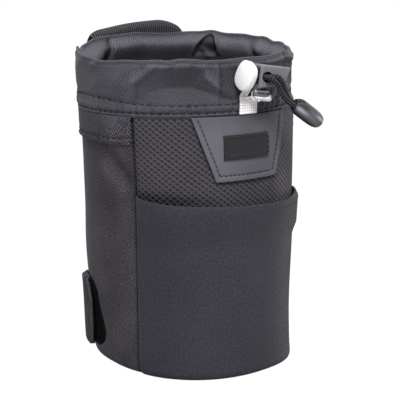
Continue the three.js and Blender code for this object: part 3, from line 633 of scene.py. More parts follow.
def air_mesh(name, base):
    """Air mesh: a staggered lattice of rounded strands with soft slanted holes between them, with the piece's
    painted shade and a painted shadow just above the left of the pocket's mouth."""
    finish = Finish(name, sheen_weight=0.02, specular_ior_level=0.05)
    across, along, both = finish.cloth()
    one = (across / 3.36 + along / 2.6).wave(1.0)
    two = (across / 3.36 - along / 2.6).wave(1.0)
    hole = two.step(0.2, 0.95) * one.step(0.1, 0.9)
    speck = finish.noise(both, 1.3, 3)
    fade = finish.noise(both, 0.06, 2)
    mixed = speck * 1.3 + (1 - one) * 0.3 + (fade - 0.5) * 0.4 - 0.35
    yarn = finish.shade(base, 0.5, 1.6, mixed)
    # Painted shadow on the mesh just above the left of the pocket's mouth, darkest in the holes
    above_mouth = along + across * 0.096 - 83.2
    painted_mouth_shadow = (1 - above_mouth.step(0.4, 5.5)) * (1 - across.step(-38.0, -8.0)) * (0.45 + hole * 0.45)
    lattice = finish.blend(finish.blend(yarn, tone(base, 0.5), hole), BLACK, painted_mouth_shadow)
    return finish.made(finish.with_painted_shade(lattice), 0.76 + hole * 0.2, (1 - hole) + speck * 0.4, 0.3)


def knit(name, base):
    """Stretch knit: very fine upright ribs with loops along them, a soft bloom, and the piece's painted
    shade and light.
    """
    finish = Finish(name, sheen_weight=0.09, sheen_roughness=0.4, specular_ior_level=0.05)
    across, along, both = finish.cloth()
    rib = across.wave(0.62)
    loop = (along + across * 0.5).wave(0.8)
    speck = finish.noise(both, 0.85, 4)
    fade = finish.noise(both, 0.03, 3)
    height = rib * 0.6 + loop * 0.4
    mixed = height * 0.25 + (speck - 0.5) * 1.5 + (fade - 0.5) * 0.5 + 0.38
    tint = finish.with_painted_shade(finish.shade(base, 0.6, 1.5, mixed))
    return finish.made(tint, 0.78 + (speck - 0.5) * 0.2, height + speck * 0.9, 0.16)


def plain_weave(name, base, pitch, depth, rough=0.75):
    """Plain weave: threads over and under at a pitch, both ways."""
    finish = Finish(name, sheen_weight=0.05, specular_ior_level=0.1)
    across, along, both = finish.cloth()
    over = across.wave(pitch)
    under = along.wave(pitch)
    speck = finish.noise(both, 1.2, 3)
    height = over * under + (1 - over) * (1 - under)
    mixed = height * 0.5 + (speck - 0.5) * 0.7 + 0.25
    tint = finish.shade(base, 0.65, 1.4, mixed)
    return finish.made(tint, rough + (speck - 0.5) * 0.2, height + speck * 0.3, depth)


def open_weave(name, base, pitch, depth):
    """Open weave of a ribbon: a square grid of flat threads with a small shaded hole in each cell."""
    finish = Finish(name, sheen_weight=0.1, specular_ior_level=0.2)
    across, along, both = finish.cloth()
    hole = (across.wave(pitch) * along.wave(pitch)).step(0.3, 0.9)
    speck = finish.noise(both, 1.2, 3)
    tint = finish.shade(base, 0.7, 1.2, 1 - hole * 0.9 + (speck - 0.5) * 0.5)
    return finish.made(tint, 0.7 + (speck - 0.5) * 0.2, (1 - hole) + speck * 0.3, depth)


def ribbed_webbing(name, base):
    """Webbing: round ribs along the strap, each crossed by slanted picks."""
    finish = Finish(name, sheen_weight=0.03, specular_ior_level=0.06)
    across, along, both = finish.cloth()
    rib = across.wave(1.15).step(0.15, 0.8)
    pick = (along + across * 0.8).wave(0.9)
    speck = finish.noise(both, 1.5, 3)
    height = rib * 0.75 + pick * 0.25
    tint = finish.shade(base, 0.03, 2.5, height * 0.85 + (speck - 0.5) * 0.6)
    return finish.made(tint, 0.74 + (speck - 0.5) * 0.2, height + speck * 0.2, 0.7)


def braid(name, base):
    """Braided cord: two families of strands that cross on the slant."""
    finish = Finish(name, sheen_weight=0.06, specular_ior_level=0.1)
    across, along, both = finish.cloth()
    one = (across + along * 1.05).wave(2.51)
    two = (across - along * 1.05).wave(2.51)
    speck = finish.noise(both, 1.6, 3)
    height = one * two + (1 - one) * (1 - two)
    mixed = (height - 0.5) * 1.7 + (speck - 0.5) * 1.2 + 0.3
    tint = finish.shade(base, 0.2, 2.6, mixed)
    return finish.made(tint, 0.7 + (speck - 0.5) * 0.2, height + speck * 0.8, 0.5)


def coated(name, base, rough, grain, depth, shine=0.22):
    """Coated or rubber sheet: an even colour with a fine moulded grain and slow rubbing, and the piece's
    painted shade and light.
    """
    finish = Finish(name, specular_ior_level=shine)
    place = finish.place()
    fine = finish.noise(place, grain, 4)
    slow = finish.noise(place, 60.0, 3)
    tint = finish.with_painted_shade(finish.shade(base, 0.82, 1.2, fine * 0.4 + slow * 0.6))
    return finish.made(tint, rough + (slow - 0.5) * 0.2 + (fine - 0.5) * 0.12, fine, depth)


def moulded(name, base, rough, coat=0.0, metal=0.0, shine=0.3):
    """Moulded plastic or drawn wire: an even colour with faint flow marks and rubbing, and the piece's
    painted shade and light.
    """
    finish = Finish(name, specular_ior_level=shine, coat_weight=coat, coat_roughness=0.12, metallic=metal)
    place = finish.place()
    fine = finish.noise(place, 2400.0, 3)
    slow = finish.noise(place, 180.0, 3)
    tint = finish.with_painted_shade(finish.shade(base, 0.9, 1.1, slow))
    return finish.made(tint, rough + (slow - 0.5) * 0.16 + (fine - 0.5) * 0.06, fine, 0.02)


def fuzz(name, base):
    """Hook and loop tape or foam: a dense matt pile of specks."""
    finish = Finish(name, specular_ior_level=0.03)
    place = finish.place()
    pile = finish.noise(place, 1100.0, 3)
    slow = finish.noise(place, 220.0, 2)
    tint = finish.shade(base, 0.1, 2.4, (pile - 0.5) * 2.4 + slow * 0.5 + 0.1)
    return finish.made(tint, 0.9 + (pile - 0.5) * 0.1, pile, 0.5)


FINISHES = {}


def make_finishes(colours):
    """Materials of all pieces, by the names that the pieces ask for, from the scene's colours."""
    side_weave = {"pitch": (1.5, 1.95), "lean": 0.12, "depth": 0.13}
    collar_weave = {"pitch": (1.15, 1.0), "lean": -0.12, "depth": 0.16, "ribs": 1.5, "specks": 1.2}
    patch_weave = {"pitch": (0.8, 0.8), "lean": 0.0, "depth": 0.06, "ribs": 0.8, "specks": 1.2}
    collar_gloss = {"rough": 0.58, "sheen": 0.03, "shine": 0.14}
    return {
        # Painted light: the yoke's twill is the side cloth made 1.2 times lighter, for the light the yoke
        # catches
        "yoke": twill("yoke_twill", times(colours.side_cloth, 1.2), **side_weave, ribs=0.8, specks=1.9),
        "side": twill("side_twill", colours.side_cloth, **side_weave, ribs=0.5, specks=1.4),
        "collar": twill("collar_twill", colours.collar_cloth, **collar_weave, **collar_gloss),
        "patch": twill("exit_patch_cloth", times(colours.collar_cloth, 0.68), **patch_weave),
        "mesh": air_mesh("air_mesh", colours.mesh),
        "knit": knit("stretch_knit", colours.knit),
        "lining": plain_weave("lining_cloth", colours.lining, 0.8, 0.1),
        "foam": fuzz("padding_foam", (0.03, 0.03, 0.032)),
        "badge": coated("coated_badge", colours.badge, 0.5, 900.0, 0.03),
        "label": coated("label_rubber", colours.label, 0.42, 700.0, 0.03, 0.3),
        "cord": braid("cord_braid", colours.cord),
        "moulding": moulded("dark_moulding", times(colours.moulding, 1.4), 0.36, shine=0.15),
        # The cord end's base is lighter than the moulding, to carry its painted shade and painted highlights
        "cord_end": moulded("glossy_moulding", (0.38, 0.38, 0.45), 0.2, shine=0.1),
        # Black moulding of the plunger: painted shade for the dark gap between button and barrel
        "neck": moulded("painted_shadow_moulding", colours.label, 0.5),
        "button": moulded("white_moulding", colours.button, 0.3, coat=0.3),
        "spring": moulded("spring_wire", (0.6, 0.6, 0.62), 0.3, metal=1.0),
        "ribbon": open_weave("open_ribbon", colours.ribbon, 1.2, 0.25),
        "webbing": ribbed_webbing("woven_webbing", colours.webbing),
        # Near black of the hook and loop tapes, also painted shade as the pile under the side loops
        "tape": fuzz("hook_and_loop", (0.005, 0.005, 0.0055)),
        "thread": plain_weave("sewing_thread", colours.thread, 0.5, 0.1, 0.6),
    }


def finish_of(key):
    """The material of a piece; all are made when the first is asked for."""
    if not FINISHES:
        FINISHES.update(make_finishes(bpy.context.scene.pouch_colours))
    return FINISHES[key]


def crease(d, z, start, end, width, depth, lean=0.0):
    """Fold along a line on the wall: a bell across it, leaning to one side, that fades at both ends."""
    (d0, z0), (d1, z1) = start, end
    reach = math.hypot(d1 - d0, z1 - z0)
    along = ((d - d0) * (d1 - d0) + (z - z0) * (z1 - z0)) / reach**2
    across = ((d - d0) * (z1 - z0) - (z - z0) * (d1 - d0)) / reach / width
    ends = smooth(-0.2, 0.15, along) * (1 - smooth(0.85, 1.2, along))
    return depth * ends * np.exp(-np.abs(across) ** 1.6) * (1 + lean * across)


def folds(d, z, lines, depth=1.0):
    """Sum of folds, each given by its start, end, width, share of the depth and, if it leans, its lean."""
    return sum(
        crease(d, z, start, end, width, share * depth, *lean) for start, end, width, share, *lean in lines
    )


def slow_waves(d, z):
    """Unevenness of padded cloth: four long waves in different directions, within half a millimetre."""
    return (
        0.16 * np.sin(d / 13.0 + z / 21.0 + 0.6)
        + 0.14 * np.sin(z / 15.0 - d / 29.0 + 2.1)
        + 0.10 * np.sin(d / 7.3 - z / 11.0 + 4.0)
        + 0.06 * np.sin(d / 4.9 + z / 5.7 + 1.0)
    )


def drawn_in(d, edges, depth, width):
    """How far a cloth is drawn in at its sewn edges: an exponential fall with the distance from each."""
    return -depth * sum(np.exp(-np.abs(d - edge) / width) for edge in edges)


def seam_painted_shade(d, left, right):
    """Painted shade in the seams at a cloth's two edges: an exponential fall with the distance."""
    return 0.8 * np.exp(-np.minimum(d - left, right - d) / 0.6)


def front_edge(z):
    """Distance of the front seams from the front centre: even above the pocket, wider towards the base."""
    return FRONT_SEAM + FRONT_SEAM_SPREAD * np.clip(1 - z / 90.0, 0, 1)


def front_span(z):
    """Left and right edge of the front at a height."""
    return -front_edge(z), front_edge(z)


def left_span(z):
    """Left and right edge of the left side at a height."""
    return -BACK_SEAM + 0 * z, -front_edge(z)


def right_span(z):
    """Left and right edge of the right side at a height."""
    return front_edge(z), BACK_SEAM + 0 * z


SIDE_SPANS = {"left": left_span, "right": right_span}

# Slanted wrinkle under the left yoke and the ridge below it, by shape, and by painted shade on the wrinkle
# and painted light on the ridge
SIDE_WRINKLE = (
    ((-71.0, 107.5), (-57.0, 94.5), 3.4, -1.0),
    ((-76.0, 100.5), (-60.0, 88.0), 3.8, 0.6),
)
SIDE_WRINKLE_PAINTED_SHADE = (
    ((-69.0, 108.0), (-56.5, 94.5), 3.0, 0.36),
    ((-76.0, 101.5), (-60.0, 88.5), 3.2, -0.36),
)


def fullness(d, z):
    """How far the padding swells the wall: at the middle of both sides and at the foot on both sides of the
    front; it is drawn in above the right swell and in front of the left one, with a wrinkle under the left
    yoke."""
    sides = 1.1 * bell(z, 50.0, 25.0) * bell(np.abs(d), 112.0, 26.0)
    right = 1.1 * bell(d, 29.0, 13.0) * (1 - smooth(0, 5, z))
    hollow = 1.3 * bell(d, 54.0, 22.0) * bell(z, 28.0, 30.0)
    left = (bell(d, -90.0, 12.0) - 0.8 * bell(d, -64.0, 9.0)) * (1 - smooth(2, 14, z))
    return sides + right - hollow + left + folds(d, z, SIDE_WRINKLE)


def side_painted_shade(d, z):
    """Painted shade on the left side: in the wrinkle under the yoke, with painted light on a ridge below it,
    in a slow hollow behind both, and painted light along the front seam and at the side's edge."""
    hollow = 0.12 * bell(d, -82.0, 8.0) * bell(z, 80.0, 18.0)
    seam = 0.16 * bell(d, -60.0, 5.0) * bell(z, 62.0, 22.0)
    edge = 0.07 * smooth(-57.0, -62.0, d) + 0.35 * bell(d, -100.0, 7.0)
    return folds(d, z, SIDE_WRINKLE_PAINTED_SHADE) + hollow - seam - edge


def wall_cloth(name, span, top, finish, lift=0.0, waves=1.0, count=(90, 90), right_painted_light=0.0):
    """Panel on the wall between two edges given by height: slow waves, both edges drawn into their seams,
    painted shade in its seams and folds, and a right end that may carry painted light."""
    t, z = spread(ease(0, 1, count[0], 0.8), ease(PANEL_FOOT, top, count[1], 0.6))
    start, end = span(z)
    d = start + (end - start) * t
    offset = lift + fullness(d, z) + waves * slow_waves(d, z) * smooth(0, 14, np.minimum(d - start, end - d))
    offset = offset + drawn_in(d, (start, end), 1.9, 0.8)
    uv = np.stack([d, z], -1)
    piece = thicken(surface(name, wall_point(d, offset, z), uv, finish), CLOTH_THICKNESS)
    # Painted shade in the seams and on the left side, painted light on the left side and at the right end
    open_painted_shade = side_painted_shade(d, z) - right_painted_light * smooth(14.0, 27.0, d)
    paint_shade_and_light(piece, 1 - (1 - seam_painted_shade(d, start, end)) * (1 - open_painted_shade))
    return piece


def yoke_offset(d, z, left, right):
    """How far a yoke band stands off the wall: doubled cloth, its lower edge folded under, puckered beside
    the front seam and drawn in at its seams."""
    up = z - YOKE_FOOT
    fold = 1.0 - 0.02 * up - (1 - smooth(-0.2, 0.8, up)) - 0.3 * bell(up, 3.2, 0.7)
    waves = 0.8 * slow_waves(d, z) * smooth(0, 8, np.minimum(d - left, right - d))
    pucker = 0.16 * np.sin(z / 0.5 + np.sin(z / 3.0)) * np.exp(-np.abs(np.abs(d) - FRONT_SEAM) / 5.0)
    return fold + waves + pucker + drawn_in(d, (left, right), 1.7, 0.8)


def pocket_mouth(d):
    """Height of the pocket's mouth: sloped to the right and dipped in the middle."""
    side = d / FRONT_SEAM
    return POCKET_HEIGHT - 3.0 * side + 1.5 * side**2


def pocket_offset(d, z, flare):
    """How far the pocket stands off the wall: close below, open at its mouth, widest at the left of the
    mouth, and turned out at its right end."""
    side = d / front_edge(z)
    sewn = 1 - np.abs(side) ** 6
    body = 0.5 * smooth(12, 60, z) * sewn
    open_share = 1 - 0.85 * smooth(0.3, 0.85, side) + 0.7 * bell(side, -0.7, 0.22)
    mouth = flare * smooth(62, 84, z) * sewn * open_share
    lip = 2.2 * smooth(60.5, 67, z) * smooth(0.5, 0.92, side) * (1 - smooth(0.955, 1.0, side))
    lip = lip * (1 - 0.7 * smooth(4.0, 0.0, pocket_mouth(d) - z))
    return 0.6 + body + mouth + lip + 0.5 * sewn * slow_waves(d * 0.7, z * 0.8) + fullness(d, z)


# Peaks and dips of the collar's rim: middle, width and height
RIM_BUMPS = (
    (-121.0, 9.0, -1.2), (-119.0, 5.0, -0.8), (-106.0, 4.5, 1.5), (-49.0, 9.0, -0.9), (-37.0, 3.5, -0.8),
    (26.0, 8.0, 0.9), (64.0, 11.0, -0.6), (80.0, 4.5, -0.9), (89.0, 5.0, 0.9), (100.0, 9.0, 0.7),
    (121.5, 5.0, 1.2),
)

# Creases outside the collar: start, end, width, share of the depth and lean
OUTER_FOLDS = (
    ((-43.0, 147.0), (-52.5, 140.0), 1.4, 0.4),
    ((-52.5, 141.5), (-53.5, 133.0), 1.2, 0.45),
    ((-56.0, 143.0), (-56.5, 134.0), 1.6, -0.4),
    ((-20.5, 149.5), (-21.0, 142.0), 1.1, 0.5),
    ((-21.0, 143.0), (-14.5, 137.0), 1.1, 0.5),
    ((-60.0, 148.0), (-68.0, 138.0), 3.0, -0.4),
    ((-70.0, 149.5), (-80.0, 147.0), 1.6, 0.5, -0.6),
    ((-56.0, 136.0), (-72.0, 137.0), 1.3, -0.3),
    ((24.5, 150.5), (25.5, 139.5), 1.3, -0.7),
    ((30.0, 151.0), (36.0, 136.0), 2.6, 0.9, 0.6),
    ((44.0, 151.0), (40.0, 138.0), 2.2, -0.7),
    ((72.0, 152.0), (66.0, 136.0), 3.0, 0.8, 0.5),
    ((102.0, 154.0), (110.0, 138.0), 3.0, 0.9, -0.5),
    ((-126.0, 155.0), (-120.0, 138.0), 3.0, 0.9, 0.5),
    ((150.0, 155.0), (143.0, 138.0), 3.0, 0.7, 0.5),
)

# Creases inside the collar
INNER_FOLDS = (
    ((126.5, 148.0), (121.5, 143.0), 1.6, -0.9),
    ((94.0, 154.5), (85.0, 146.5), 1.6, -1.3, 0.5),
    ((98.0, 151.0), (89.0, 143.0), 2.4, 1.0),
    ((-108.0, 155.0), (-116.0, 143.0), 2.4, -1.3, 0.5),
    ((60.0, 153.0), (56.0, 142.0), 2.0, -1.0, 0.4),
)

# Painted light along the ridges round the collar's front hollow, and painted shade in the lines beneath two
# of them
RIDGE_PAINTED_LIGHT_AND_SHADE = (
    ((-44.0, 148.6), (-54.4, 141.0), 2.2, -0.3),
    ((-54.4, 141.4), (-55.6, 133.5), 2.2, -0.24),
    ((-19.2, 148.5), (-19.6, 142.8), 1.6, -0.24),
    ((-19.8, 143.0), (-12.8, 137.8), 1.6, -0.24),
    ((-41.6, 146.6), (-51.4, 139.2), 1.2, 0.22),
    ((-51.4, 139.6), (-52.0, 133.5), 1.2, 0.22),
)

# Painted shade of puckers under the collar's rim: middle, width and shade
PAINTED_PUCKER_SHADE = ((-48.0, 1.8, 0.5), (-35.5, 1.8, 0.5), (-26.0, 1.8, 0.5), (-19.0, 1.8, 0.5))


def rim_height(d):
    """Height of the collar's rim: low in front and sagging round the left, highest behind, with waves and
    peaks."""
    mean = 153.5 - 3.5 * np.cos(np.pi * d / HALF_GIRTH)
    waves = 0.3 * np.sin(d / 9.0 + 0.5) + 0.2 * np.sin(d / 4.3 + 2.0)
    return mean + waves - 3.2 * plateau(d, -93.0, 41.0) + bells(d, RIM_BUMPS)


def band_top(d):
    """Height of the upper row of sewing on the collar's band: lowest in front, higher at the sides."""
    return BAND_TOP + 0.5 - 2.9 * plateau(d, -18.0, 48.0)


def collar_band(d, z):
    """Foot of the collar: a puffed band between two rows of sewing, puckered along both."""
    above = z - band_top(d)
    up = z - SEAM_HEIGHT
    hem = 0.9 - 0.6 * bell(up, 1.7, 0.6) - 0.4 * bell(above, 0.0, 0.6) + 0.4 * bell(up, 3.6, 1.7)
    ripple = np.sin(d / 0.62 + 1.5 * np.sin(d / 9.0)) + 0.8 * np.sin(d / 1.13 + 2.0 * np.sin(d / 13.0))
    return hem + 0.24 * ripple * (bell(above, -1.2, 2.0) + 0.7 * bell(up, 2.4, 1.6))


def collar_hollow(d, z):
    """Depth of the flat hollow in the collar's front: the least of the slopes inwards from its edges, rounded
    where it starts."""
    left = 0.22 * (d + 53.0)
    slanted = 0.22 * (0.59 * (d + 52.5) - 0.81 * (z - 140.0))
    top = 0.25 * (146.8 - z)
    right = np.maximum(-0.4 * (d + 20.7), -0.2 * (d + 21.0) - 0.28 * (z - 142.0))
    foot = 0.32 * (z - band_top(d) - 0.6)
    inside = np.minimum.reduce([left, slanted, top, right, foot])
    return (inside + np.sqrt(inside**2 + 0.008)) / 2


def collar_dent(d, z):
    """Depth of the oval dent at the collar's left: a paraboloid, 1 at its middle."""
    return np.clip(1 - ((d + 86.0) / 11.5) ** 2 - ((z - 142.5) / 7.5) ** 2, 0, 1)


def tent_span(d, z):
    """Edges of the tent pulled up inside the collar's back, and 1 between them."""
    left = np.interp(z, [142.5, 148.2, 153.5, 156.8], [132.2, 130.5, 126.0, 122.0])
    right = np.interp(z, [142.5, 149.5, 154.8, 156.8], [116.0, 117.0, 120.2, 122.0])
    return left, right, smooth(-0.5, 0.6, left - d) * smooth(-0.5, 0.6, d - right)


def left_fold(d, z):
    """Distance to the right of the slanted fold inside the collar's left."""
    return d + 146.0 - 0.5 * (156.0 - z)


def collar_painted_shade(d, z, t):
    """Painted shade of the collar in its folds: outside a little in its front hollow, its dent and its
    puckers, with painted light on ridges; inside by the depth below the rim, and most in the tent's top and
    beside the left fold."""
    below = rim_height(d) - z
    outside = 0.2 * smooth(0.0, 0.3, collar_hollow(d, z)) + 0.2 * smooth(0.0, 0.3, collar_dent(d, z))
    outside = outside + folds(d, z, RIDGE_PAINTED_LIGHT_AND_SHADE) + bells(d, PAINTED_PUCKER_SHADE) * bell(below, 3.0, 1.1)
    deep = 0.38 * smooth(3.0, 11.0, below)
    tent = 0.85 * tent_span(d, z)[2] * smooth(0.5, 3.0, below) * smooth(145.5, 149.0, z + 0.4 * (122.0 - d))
    beside = left_fold(d, z)
    reach = np.interp(z, [146.0, 150.0, 156.0], [11.0, 6.5, 2.0])
    fold = 0.85 * smooth(-0.6, 0.6, beside) * (1 - smooth(0.4, 1.0, beside / reach))
    fold = fold * smooth(0.5, 2.0, below) * smooth(-115.0, -120.0, d)
    inside = 1 - (1 - deep) * (1 - tent) * (1 - fold)
    return np.where(t < 2, outside, inside)


def collar_outer(d, z, depth):
    """Outside of the collar: full at the left, with a flat hollow in front between two slanted folds, an
    oval dent at the left, a hem that leans in to the rim, and smaller creases."""
    below = rim_height(d) - z
    above = z - band_top(d)
    front = smooth(-48, -42, d) * (1 - smooth(40, 70, d))
    full = (0.5 + bells(d, ((-57.0, 10.0, 0.7), (-98.0, 13.0, 0.5)))) * (1 - smooth(-50, -20, d))
    full = full * smooth(1, 10, below) * smooth(0, 6, above)
    side_slack = 0.3 * smooth(60, 90, np.abs(d)) * (1 - bell(d, -85.0, 26.0))
    slack = np.maximum(side_slack, 0.45 * front * smooth(-16, 0, d))
    bag = 1.0 - 2.5 * smooth(133.5, 139.5, z) + 2.9 * smooth(5.8, 2.8, below) - 1.4 * smooth(2.4, 0.2, below)
    hem = -(0.4 + 0.6 * front) * smooth(3.4, 0.2, below) + 0.3 * front * bell(below, 3.8, 1.8)
    right = bell(d, 53.0, 20.0) * (0.6 * bell(z, 144.0, 3.0) - 1.9 * bell(z, 133.8, 4.5))
    edge = -0.5 * bell(below, 1.9, 0.5) * (0.5 + 0.5 * front)
    flat = -2.0 * bell(d, 55.0, 22.0) * bell(z, 130.0, 3.6)
    long_waves = 0.16 * np.sin(d / 8.5 + z / 30.0) + 0.12 * np.sin(d / 14.0 - z / 9.0 + 1.7)
    waves = long_waves + 0.1 * np.sin(d / 3.9 + z / 7.0)
    lean = -2.6 * bell(d, 62.0, 26.0) * smooth(SEAM_HEIGHT - 1, BAND_TOP + 4, z)
    hollow = depth * (collar_hollow(d, z) + 0.8 * collar_dent(d, z))
    loose = full + slack * bag + hem + right + edge + waves + folds(d, z, OUTER_FOLDS, depth) - hollow
    return collar_band(d, z) + lean + flat + smooth(-0.5, 2.5, above) * loose


def collar_inner(d, z, depth):
    """Inside of the collar: slopes in below the rim, hangs back under the slope, and at the back is pulled
    into a tent between two ridges, with a facet and a slanted fold beside it."""
    below = rim_height(d) - z
    share = below / (7.0 + 2.0 * bell(d, 105.0, 12.0))
    slope = -2.0 - 4.4 * smooth(0, 1, share) + 2.2 * smooth(1, 2.2, share) - 2.9 * smooth(17, 30, below)
    slope = slope - 2.6 * bell(d, 62.0, 26.0) * smooth(SEAM_HEIGHT + 1, BAND_TOP + 6, z)
    waves = 0.25 * np.sin(d / 10.0 + z / 16.0 + 0.8) + 0.18 * np.sin(d / 5.1 - z / 12.0)
    left, right, within = tent_span(d, z)
    tent = 2.4 * within * smooth(0.5, 4, below) - 2.6 * bell(d, left, 1.2) - 2.2 * bell(d, right, 1.2)
    facet = 2.4 * smooth(-0.2, -2.4, left_fold(d, z)) * smooth(-163, -148, d)
    facet = facet + 1.4 * smooth(-137.5, -131, d) * (1 - smooth(-122, -108, d))
    loose = waves + tent * smooth(143.5, 146.5, z) - facet * smooth(0, 3, below)
    return slope + smooth(126, 134, z) * (loose + folds(d, z, INNER_FOLDS, depth))


def collar_points(d, t, depth):
    """Collar as one cloth: up the outside, over the rim in a small roll, and down the inside; with each
    point's length along the cloth."""
    roll = 0.7
    rim = rim_height(d)
    crown = rim - roll
    foot_out = SEAM_HEIGHT - 0.5
    foot_in = SEAM_HEIGHT + 0.1
    up = np.clip(t, 0, 1)
    down = np.clip(t - 2, 0, 1)
    turn = np.clip(t - 1, 0, 1) * np.pi
    z_out = foot_out + (crown - foot_out) * up
    z_in = crown - (crown - foot_in) * down
    crest = collar_outer(d, crown, depth)
    tuck = 0.7 * (1 - smooth(0.0, 0.05, up))
    offset_out = collar_outer(d, z_out, depth) - tuck
    near_rim = 1 - smooth(0.0, 0.16, down)
    inner = collar_inner(d, z_in, depth)
    offset_in = inner + near_rim * (crest - 2 * roll - inner)
    offset = np.where(t <= 1, offset_out, np.where(t >= 2, offset_in, crest - roll + roll * np.cos(turn)))
    z = np.where(t <= 1, z_out, np.where(t >= 2, z_in, crown + roll * np.sin(turn)))
    return wall_point(d, offset, z), np.where(t <= 1, z_out, 2 * rim - z_in)


def on_collar(d, z, depth, lift):
    """Point on the outside of the collar, lifted off it."""
    return wall_point(d, collar_outer(d, z, depth) + lift, z)


def exit_hole(points, half_width, half_height):
    """Whether points lie in an oval round the cord's exit."""
    across = (points[..., 0] - EXIT[0]) / half_width
    return np.hypot(across, (points[..., 2] - EXIT[2]) / half_height) < 1


def tail_lines():
    """Middle lines of the two free cord ends, run on into the cord end, their sideways vectors, the direction
    in which they end and the place where the cord end starts."""
    along = unit(TAIL_ROUTE[-1] - TAIL_ROUTE[-2])
    route = np.concatenate([TAIL_ROUTE, [TAIL_ROUTE[-1] + 4.5 * along]]) + EXIT
    sideways = unit(np.concatenate([TAIL_SIDEWAYS, TAIL_SIDEWAYS[-1:]]))
    near = np.ones((len(route), 1))
    near[-2:] = [[0.8], [0.62]]
    lines = [curve_through(route + side * near * CORD_SPACING / 2 * sideways, 48) for side in (-1, 1)]
    return lines, curve_through(sideways, 48), along, route[-2]


def badge_rise(z):
    """Share of the badge's height, from 0 at its foot to 1 at its top."""
    return np.clip((z - BADGE_TOP + BADGE_HEIGHT) / BADGE_HEIGHT, 0, 1)


def badge_bulge(z):
    """How far the badge's middle stands out: a half sine from its foot to its top."""
    return 0.8 * np.sin(np.pi * badge_rise(z))


def badge_shift(z):
    """How far the badge sits to the left of the front's middle: more towards its top."""
    return -0.3 - 1.9 * badge_rise(z)


class POUCH_OT_stage(bpy.types.Operator):
    """Makes the camera, the soft lights, the pale floor and the white surround"""

    bl_idname = "pouch.stage"
    bl_label = "Stage"

    def execute(self, context):
        self.camera(context.scene)
        self.lights()
        self.surround(context.scene)
        self.floor()
        context.scene.view_settings.view_transform = "Standard"
        return {"FINISHED"}

    def placed(self, name, data, right, up, back, at):
        """Camera or lamp at a place, turned to three axes."""
        axes = np.eye(4)
        axes[:3] = np.stack([right, up, back, at], 1)
        holder = linked(name, data)
        holder.matrix_world = Matrix(axes.tolist())
        return holder

    def camera(self, scene):
        """Camera at the photograph's angle, turned about its own axis by its roll."""
        data = bpy.data.cameras.new("camera")
        data.lens = CAMERA_LENS
        data.sensor_width = 36.0
        data.shift_x, data.shift_y = CAMERA_SHIFT
        data.clip_start = 0.01
        data.clip_end = 20.0
        az, el, roll = CAMERA_AZIMUTH, CAMERA_ELEVATION, CAMERA_ROLL
        back = np.array([math.sin(az) * math.cos(el), -math.cos(az) * math.cos(el), math.sin(el)])
        right = np.array([math.cos(az), math.sin(az), 0.0])
        up = np.cross(back, right)
        turned_right = right * math.cos(roll) + up * math.sin(roll)
        turned_up = up * math.cos(roll) - right * math.sin(roll)
        scene.camera = self.placed("camera", data, turned_right, turned_up, back, CAMERA_AT)

    def lights(self):
        """Four soft square lamps: a key above in front, one at each side and one above behind."""
        for name, at, size, power in LAMPS:
            lamp = bpy.data.lights.new(name, "AREA")
            lamp.size = size
            lamp.energy = power
            back = unit(np.array(at) - LAMP_AIM)
            right = unit(np.cross([0.0, 0.0, 1.0], back))
            self.placed(name, lamp, right, np.cross(back, right), back, at)

    def surround(self, scene):
        """World that lights dimly and that the camera, reflections and clear pieces see as white."""
        scene.world = bpy.data.worlds.new("surround")
        sky = Nodes(scene.world)
        sky.tree.nodes["Background"].inputs["Color"].default_value = (1.0, 1.0, 1.0, 1.0)
        seen = sky.ray("Camera").most(sky.ray("Transmission")).most(sky.ray("Glossy"))
        sky.feed(seen * 0.92 + 0.08, "Background", "Strength")

    def floor(self):
        """Pale floor that the camera sees as nearly white and that keeps the shadow."""
        finish = Finish("pale_floor", base_color=(0.45, 0.45, 0.45, 1.0), roughness=0.9)
        white = finish.node("ShaderNodeEmission", None, {"Strength": 1.07})
        lit = Value(finish, finish.shader.outputs[0])
        mixed = finish.node("ShaderNodeMixShader", None, {0: finish.ray("Camera") * 0.93, 1: lit, 2: white})
        finish.feed(mixed, "Material Output", "Surface")
        u, v = spread(np.linspace(-1500, 1500, 3), np.linspace(-1500, 1500, 3))
        points = np.stack([u, v, np.full(u.shape, -0.15)], -1)
        surface("floor", points, np.stack([u, v], -1), finish.material)


